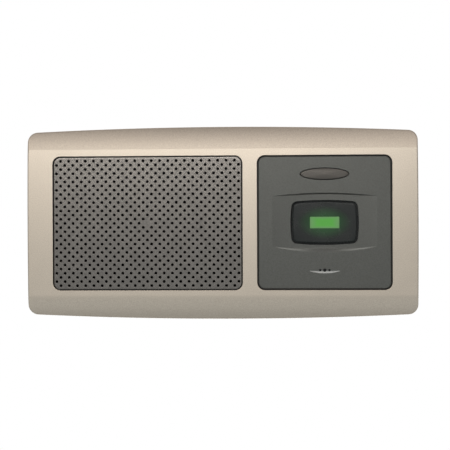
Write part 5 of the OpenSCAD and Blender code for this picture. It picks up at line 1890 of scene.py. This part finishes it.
class INTERCOM_OT_panel(bpy.types.Operator):
    """Builds the control panel"""

    bl_idname = "intercom.panel"
    bl_label = "Control panel"

    def execute(self, context):
        s = context.scene.intercom
        panel = finish_piece(build_panel(s), panel_plastic(s), "control_panel")
        # The scoop's floor takes a pale finish: a painted highlight of the light from above
        panel.data.materials.append(scoop_painted_highlight())
        for polygon in panel.data.polygons:
            if in_scoop(s, polygon):
                polygon.material_index = 1
        return {"FINISHED"}


class INTERCOM_OT_buttons(bpy.types.Operator):
    """Builds the call button, its lit window and the oval button"""

    bl_idname = "intercom.buttons"
    bl_label = "Buttons"

    def execute(self, context):
        s = context.scene.intercom
        finish_piece(build_call_button(s), smoked_acrylic(s), "call_button", "call_key")
        finish_piece(build_window(s), lit_lens(s), "call_window", "call_key")
        finish_piece(build_oval(s), oval_plastic(s.colours), "oval_button", "oval_key")
        return {"FINISHED"}


class INTERCOM_OT_housing(bpy.types.Operator):
    """Builds the rear housing, its cable grommet and the case screws"""

    bl_idname = "intercom.housing"
    bl_label = "Rear housing"

    def execute(self, context):
        s = context.scene.intercom
        plastic = housing_plastic(s.colours)
        finish_piece(build_housing(s), plastic, "rear_housing")
        # Rubber: near black, matt
        rubber = grained("grommet_rubber_moulded", "#1A1A1A", "#121212", 0.5, 0.006, (0.6, 0.75))
        finish_piece(build_grommet(s), rubber, "cable_grommet")
        # Zinc plate: pale mirror broken up by crystals
        zinc = grained("case_screw_zinc_plate", "#D2D4D6", "#B9BCC0", 0.6, 0.004, (0.26, 0.36), 1.0)
        finish_piece(build_case_screws(s, zinc), zinc, "case_screws")
        return {"FINISHED"}


class INTERCOM_OT_inside(bpy.types.Operator):
    """Dresses the loudspeaker, the circuit board and the other pieces inside the case"""

    bl_idname = "intercom.inside"
    bl_label = "Inside"

    def execute(self, context):
        finishes = inner_finishes()
        edge, flange, base = build_surround()
        finish_film(edge, finishes["black_rubber"], "speaker_surround", flange, base + FILM)
        # Resin-stiffened cloth: amber weave
        amber = woven("cotton_cloth_resin_stiffened", "#C29A48", "#9A7530", thread=0.5, gloss=0.7)
        spider, shelf, level = build_spider()
        finish_film(spider, amber, "speaker_spider", shelf, level)
        foam = finishes["black_foam"]
        gasket = finish_piece(build_gasket(), foam, "speaker_gasket")
        for name, side in (("speaker_lead_upper", 1), ("speaker_lead_lower", -1)):
            lead, total, start = build_lead(name, side)
            finish_piece(lead, finishes["lead_sleeve"], "speaker_leads")
        for slot, names in inner_nodes().items():
            for name in names:
                node = frame["nodes"][name]
                node.data.materials.clear()
                node.data.materials.append(finishes[slot])
                node.data.shade_smooth()
                node.data.set_sharp_from_angle(angle=math.radians(SHARP))
        return {"FINISHED"}


def inner_nodes():
    """CAD nodes inside the case that keep their shape, by the slot of their finish."""
    return {
        "black_plastic": ["inner_chassis", "call_switches", "oval_switch", "amplifier_chip"],
        "white_plastic": ["speaker_plug", "speaker_socket", "call_plungers", "oval_plunger"],
        "green_plastic": ["terminal_block", "call_lamps"],
        "orange_plastic": ["relay"],
        "tag_board": ["speaker_tag_board"],
        "board_laminate": ["circuit_board"],
        "black_rubber": ["microphone_boot"],
        "cone_paper": ["speaker_cone", "speaker_dust_cap"],
        "zinc_steel": ["chassis_screws", "board_screws", "speaker_screws", "terminal_screws"]
        + ["speaker_basket", "speaker_top_plate", "speaker_yoke", "speaker_tags"],
        "core_steel": ["transformer_core"],
        "ferrite": ["speaker_magnet"],
        "brass": ["case_inserts"],
        "copper_wire": ["voice_coil"],
        "aluminium_can": ["microphone"],
        "capacitor_sleeve": ["capacitors"],
        "winding_tape": ["transformer_coil"],
    }


def shown_rays(tree):
    """1 for rays from the camera, from gloss and through glass."""
    rays = add(tree, "ShaderNodeLightPath").outputs
    seen = rays["Is Camera Ray"]
    for name in ("Is Glossy Ray", "Is Transmission Ray"):
        either = {0: seen, 1: rays[name]}
        seen = add(tree, "ShaderNodeMath", {"operation": "MAXIMUM"}, either).outputs["Value"]
    return seen


# Width of the floor in metres, and its own light where it is seen
FLOOR_SIZE = 8
FLOOR_LIFT = 0.55


def build_floor(stage):
    """Pale floor that looks white and keeps a soft shadow."""
    bm = bmesh.new()
    level = Matrix.Translation((0, 0, -stage.floor))
    bmesh.ops.create_grid(bm, x_segments=1, y_segments=1, size=FLOOR_SIZE / 2, matrix=level)
    floor = make_object(bm, "floor")
    material, tree, shader, _ = start_finish("pale_paper_floor")
    shader.inputs["Base Color"].default_value = linear("#EDEDED")
    shader.inputs["Roughness"].default_value = 0.9
    shader.inputs["Emission Color"].default_value = (1, 1, 1, 1)
    lift = add(tree, "ShaderNodeMath", {"operation": "MULTIPLY"}, {0: shown_rays(tree), 1: FLOOR_LIFT})
    tree.links.new(lift.outputs["Value"], shader.inputs["Emission Strength"])
    floor.data.materials.append(material)


# Tent: its radius, where it ends behind the wall, and where it dims behind the front, in metres
TENT_RADIUS = 1.6
TENT_END = 1.0
TENT_DIM = (0.3, 0.6)
# Brightness of its dim part against the rest
TENT_DIM_SHARE = 0.4
COOL = (0.96, 1.0, 1.02)
WARM = (1.05, 0.995, 0.985)


def tent_ramp():
    """Colours of the tent's cloth by height: cool below the camera, warm and brightest above it."""
    low = ((-1.6, 0.95), (-1.25, 1.0), (-0.9, 1.28), (-0.35, 1.3), (-0.12, 1.0), (0.08, 1.08))
    high = ((0.35, 1.0), (0.5, 1.1), (0.62, 1.8), (0.72, 1.75))
    high += ((0.8, 0.95), (1.0, 0.75), (1.4, 0.9), (1.6, 1.1))
    ramp = []
    for hue, bands in ((COOL, low), (WARM, high)):
        for level, shine in bands:
            position = (level + TENT_RADIUS) / (2 * TENT_RADIUS)
            ramp.append((position, [part * shine for part in hue] + [1]))
    return ramp


def build_tent(stage):
    """Half dome of grey cloth round the front, which the lacquer mirrors; the camera looks through it."""
    bm = bmesh.new()
    bmesh.ops.create_uvsphere(bm, u_segments=48, v_segments=24, radius=TENT_RADIUS)
    bmesh.ops.delete(bm, geom=[v for v in bm.verts if v.co.y > TENT_END], context="VERTS")
    tent = make_object(bm, "light_tent")
    material = bpy.data.materials.new("tent_cloth")
    tree = bare_tree(material)
    place = add(tree, "ShaderNodeTexCoord").outputs["Object"]
    parts = add(tree, "ShaderNodeSeparateXYZ", inputs={"Vector": place}).outputs
    limits = {"Value": parts["Z"], "From Min": -TENT_RADIUS, "From Max": TENT_RADIUS}
    share = add(tree, "ShaderNodeMapRange", inputs=limits).outputs["Result"]
    colour = add(tree, "ShaderNodeValToRGB", {"ramp": tent_ramp()}, {"Fac": share}).outputs["Color"]
    # Dim behind the front, so that the frame's outer edges end in a thin darker line
    limits = {"Value": parts["Y"], "From Min": TENT_DIM[0], "From Max": TENT_DIM[1]}
    limits.update({"To Min": stage.tent, "To Max": TENT_DIM_SHARE * stage.tent})
    strength = add(tree, "ShaderNodeMapRange", inputs=limits).outputs["Result"]
    glow = add(tree, "ShaderNodeEmission", inputs={"Color": colour, "Strength": strength})
    add(tree, "ShaderNodeOutputMaterial", inputs={"Surface": glow.outputs["Emission"]})
    tent.data.materials.append(material)
    tent.visible_camera = False
    tent.visible_shadow = False


def build_room(stage):
    """White room, a little dimmer for matt surfaces than for the camera and for gloss."""
    world = bpy.data.worlds.new("white_room")
    tree = bare_tree(world)
    limits = {"Value": shown_rays(tree), "To Min": stage.fill, "To Max": 1.0}
    strength = add(tree, "ShaderNodeMapRange", inputs=limits).outputs["Result"]
    room = add(tree, "ShaderNodeBackground", inputs={"Color": (1, 1, 1, 1), "Strength": strength})
    add(tree, "ShaderNodeOutputWorld", inputs={"Surface": room.outputs["Background"]})
    bpy.context.scene.world = world


def add_lamp(name, power, size, place, target, colour=(1, 1, 1)):
    """Soft box of a width and height that points at a target."""
    data = bpy.data.lights.new(name, "AREA")
    data.energy = power
    data.color = colour
    data.shape = "RECTANGLE"
    data.size, data.size_y = size
    lamp = new_object(name, data)
    lamp.location = place
    lamp.rotation_euler = (Vector(target) - Vector(place)).to_track_quat("-Z", "Y").to_euler()
    lamp.visible_camera = False
    return lamp


def keep_light_off(lamp, finish):
    """Shades the pieces of one finish from a lamp, as a flag on a stand does."""
    shaded = bpy.data.collections.new(lamp.name + "_flag")
    for obj in bpy.context.scene.objects:
        if obj.type == "MESH" and finish in obj.data.materials:
            shaded.objects.link(obj)
    if not shaded.objects:
        raise RuntimeError("no piece has the finish " + finish)
    for row in shaded.collection_objects:
        row.light_linking.link_state = "EXCLUDE"
    lamp.light_linking.receiver_collection = shaded


# Width of the camera's sensor in millimetres
SENSOR = 36


def add_camera(stage, front):
    """Camera in front of the station, a little to the right."""
    data = bpy.data.cameras.new("camera")
    camera = new_object("camera", data)
    camera.location = (stage.side, front - stage.distance, 0)
    aim = Vector((stage.aim_x, front, stage.aim_z)) - camera.location
    turn = aim.to_track_quat("-Z", "Y").to_matrix() @ Matrix.Rotation(stage.roll, 3, "Z")
    camera.rotation_euler = turn.to_euler()
    data.sensor_width = SENSOR
    data.lens = SENSOR * aim.length / stage.view
    bpy.context.scene.camera = camera


# Lamps, in metres: the key's size, its place and its tint, and the roof's size and place
KEY_SIZE = (0.475, 0.06)
KEY_X, KEY_BEHIND_CAMERA, KEY_Z = -0.095, 0.03, 0.15
KEY_TINT = (1.0, 0.97, 0.94)
ROOF_SIZE = (0.8, 0.8)
ROOF_OUT, ROOF_Z = 0.25, 0.9


class INTERCOM_OT_stage(bpy.types.Operator):
    """Adds the floor, the light and the camera"""

    bl_idname = "intercom.stage"
    bl_label = "Stage"

    def execute(self, context):
        s = context.scene.intercom
        stage = s.stage
        front = -s.frame.depth
        context.scene.view_settings.view_transform = "Standard"
        build_floor(stage)
        build_tent(stage)
        build_room(stage)
        above = (KEY_X, front - stage.distance - KEY_BEHIND_CAMERA, KEY_Z)
        add_lamp("key_strip", stage.key, KEY_SIZE, above, (KEY_X, front, 0), KEY_TINT)
        roof = add_lamp("top_soft_box", stage.top, ROOF_SIZE, (0, front - ROOF_OUT, ROOF_Z), (0, front, 0))
        keep_light_off(roof, LACQUER)
        add_camera(stage, front)
        return {"FINISHED"}


class INTERCOM_PT_station(bpy.types.Panel):
    """Lists the builders and their settings"""

    bl_idname = "INTERCOM_PT_station"
    bl_label = "Wall intercom"
    bl_space_type = "VIEW_3D"
    bl_region_type = "UI"
    bl_category = "Intercom"

    def draw(self, context):
        for operator in OPERATORS:
            self.layout.operator(operator.bl_idname)
        for group in (getattr(context.scene.intercom, name) for name in GROUPS):
            box = self.layout.box()
            for name in group.__annotations__:
                box.prop(group, name)


OPERATORS = (
    INTERCOM_OT_front_frame,
    INTERCOM_OT_grille,
    INTERCOM_OT_panel,
    INTERCOM_OT_buttons,
    INTERCOM_OT_housing,
    INTERCOM_OT_inside,
    INTERCOM_OT_stage,
)
GROUPS = ("frame", "inserts", "panel", "buttons", "housing", "colours", "stage")
CLASSES = (
    FrameSizes,
    InsertSizes,
    PanelSizes,
    ButtonSizes,
    HousingSizes,
    FinishColours,
    StageSettings,
    IntercomSettings,
    *OPERATORS,
    INTERCOM_PT_station,
)


def register():
    for kind in CLASSES:
        bpy.utils.register_class(kind)
    bpy.types.Scene.intercom = bpy.props.PointerProperty(type=IntercomSettings, name="Intercom")


def unregister():
    del bpy.types.Scene.intercom
    for kind in reversed(CLASSES):
        bpy.utils.unregister_class(kind)


def main():
    register()
    for operator in OPERATORS:
        group, name = operator.bl_idname.split(".")
        getattr(getattr(bpy.ops, group), name)()


if __name__ == "__main__":
    main()
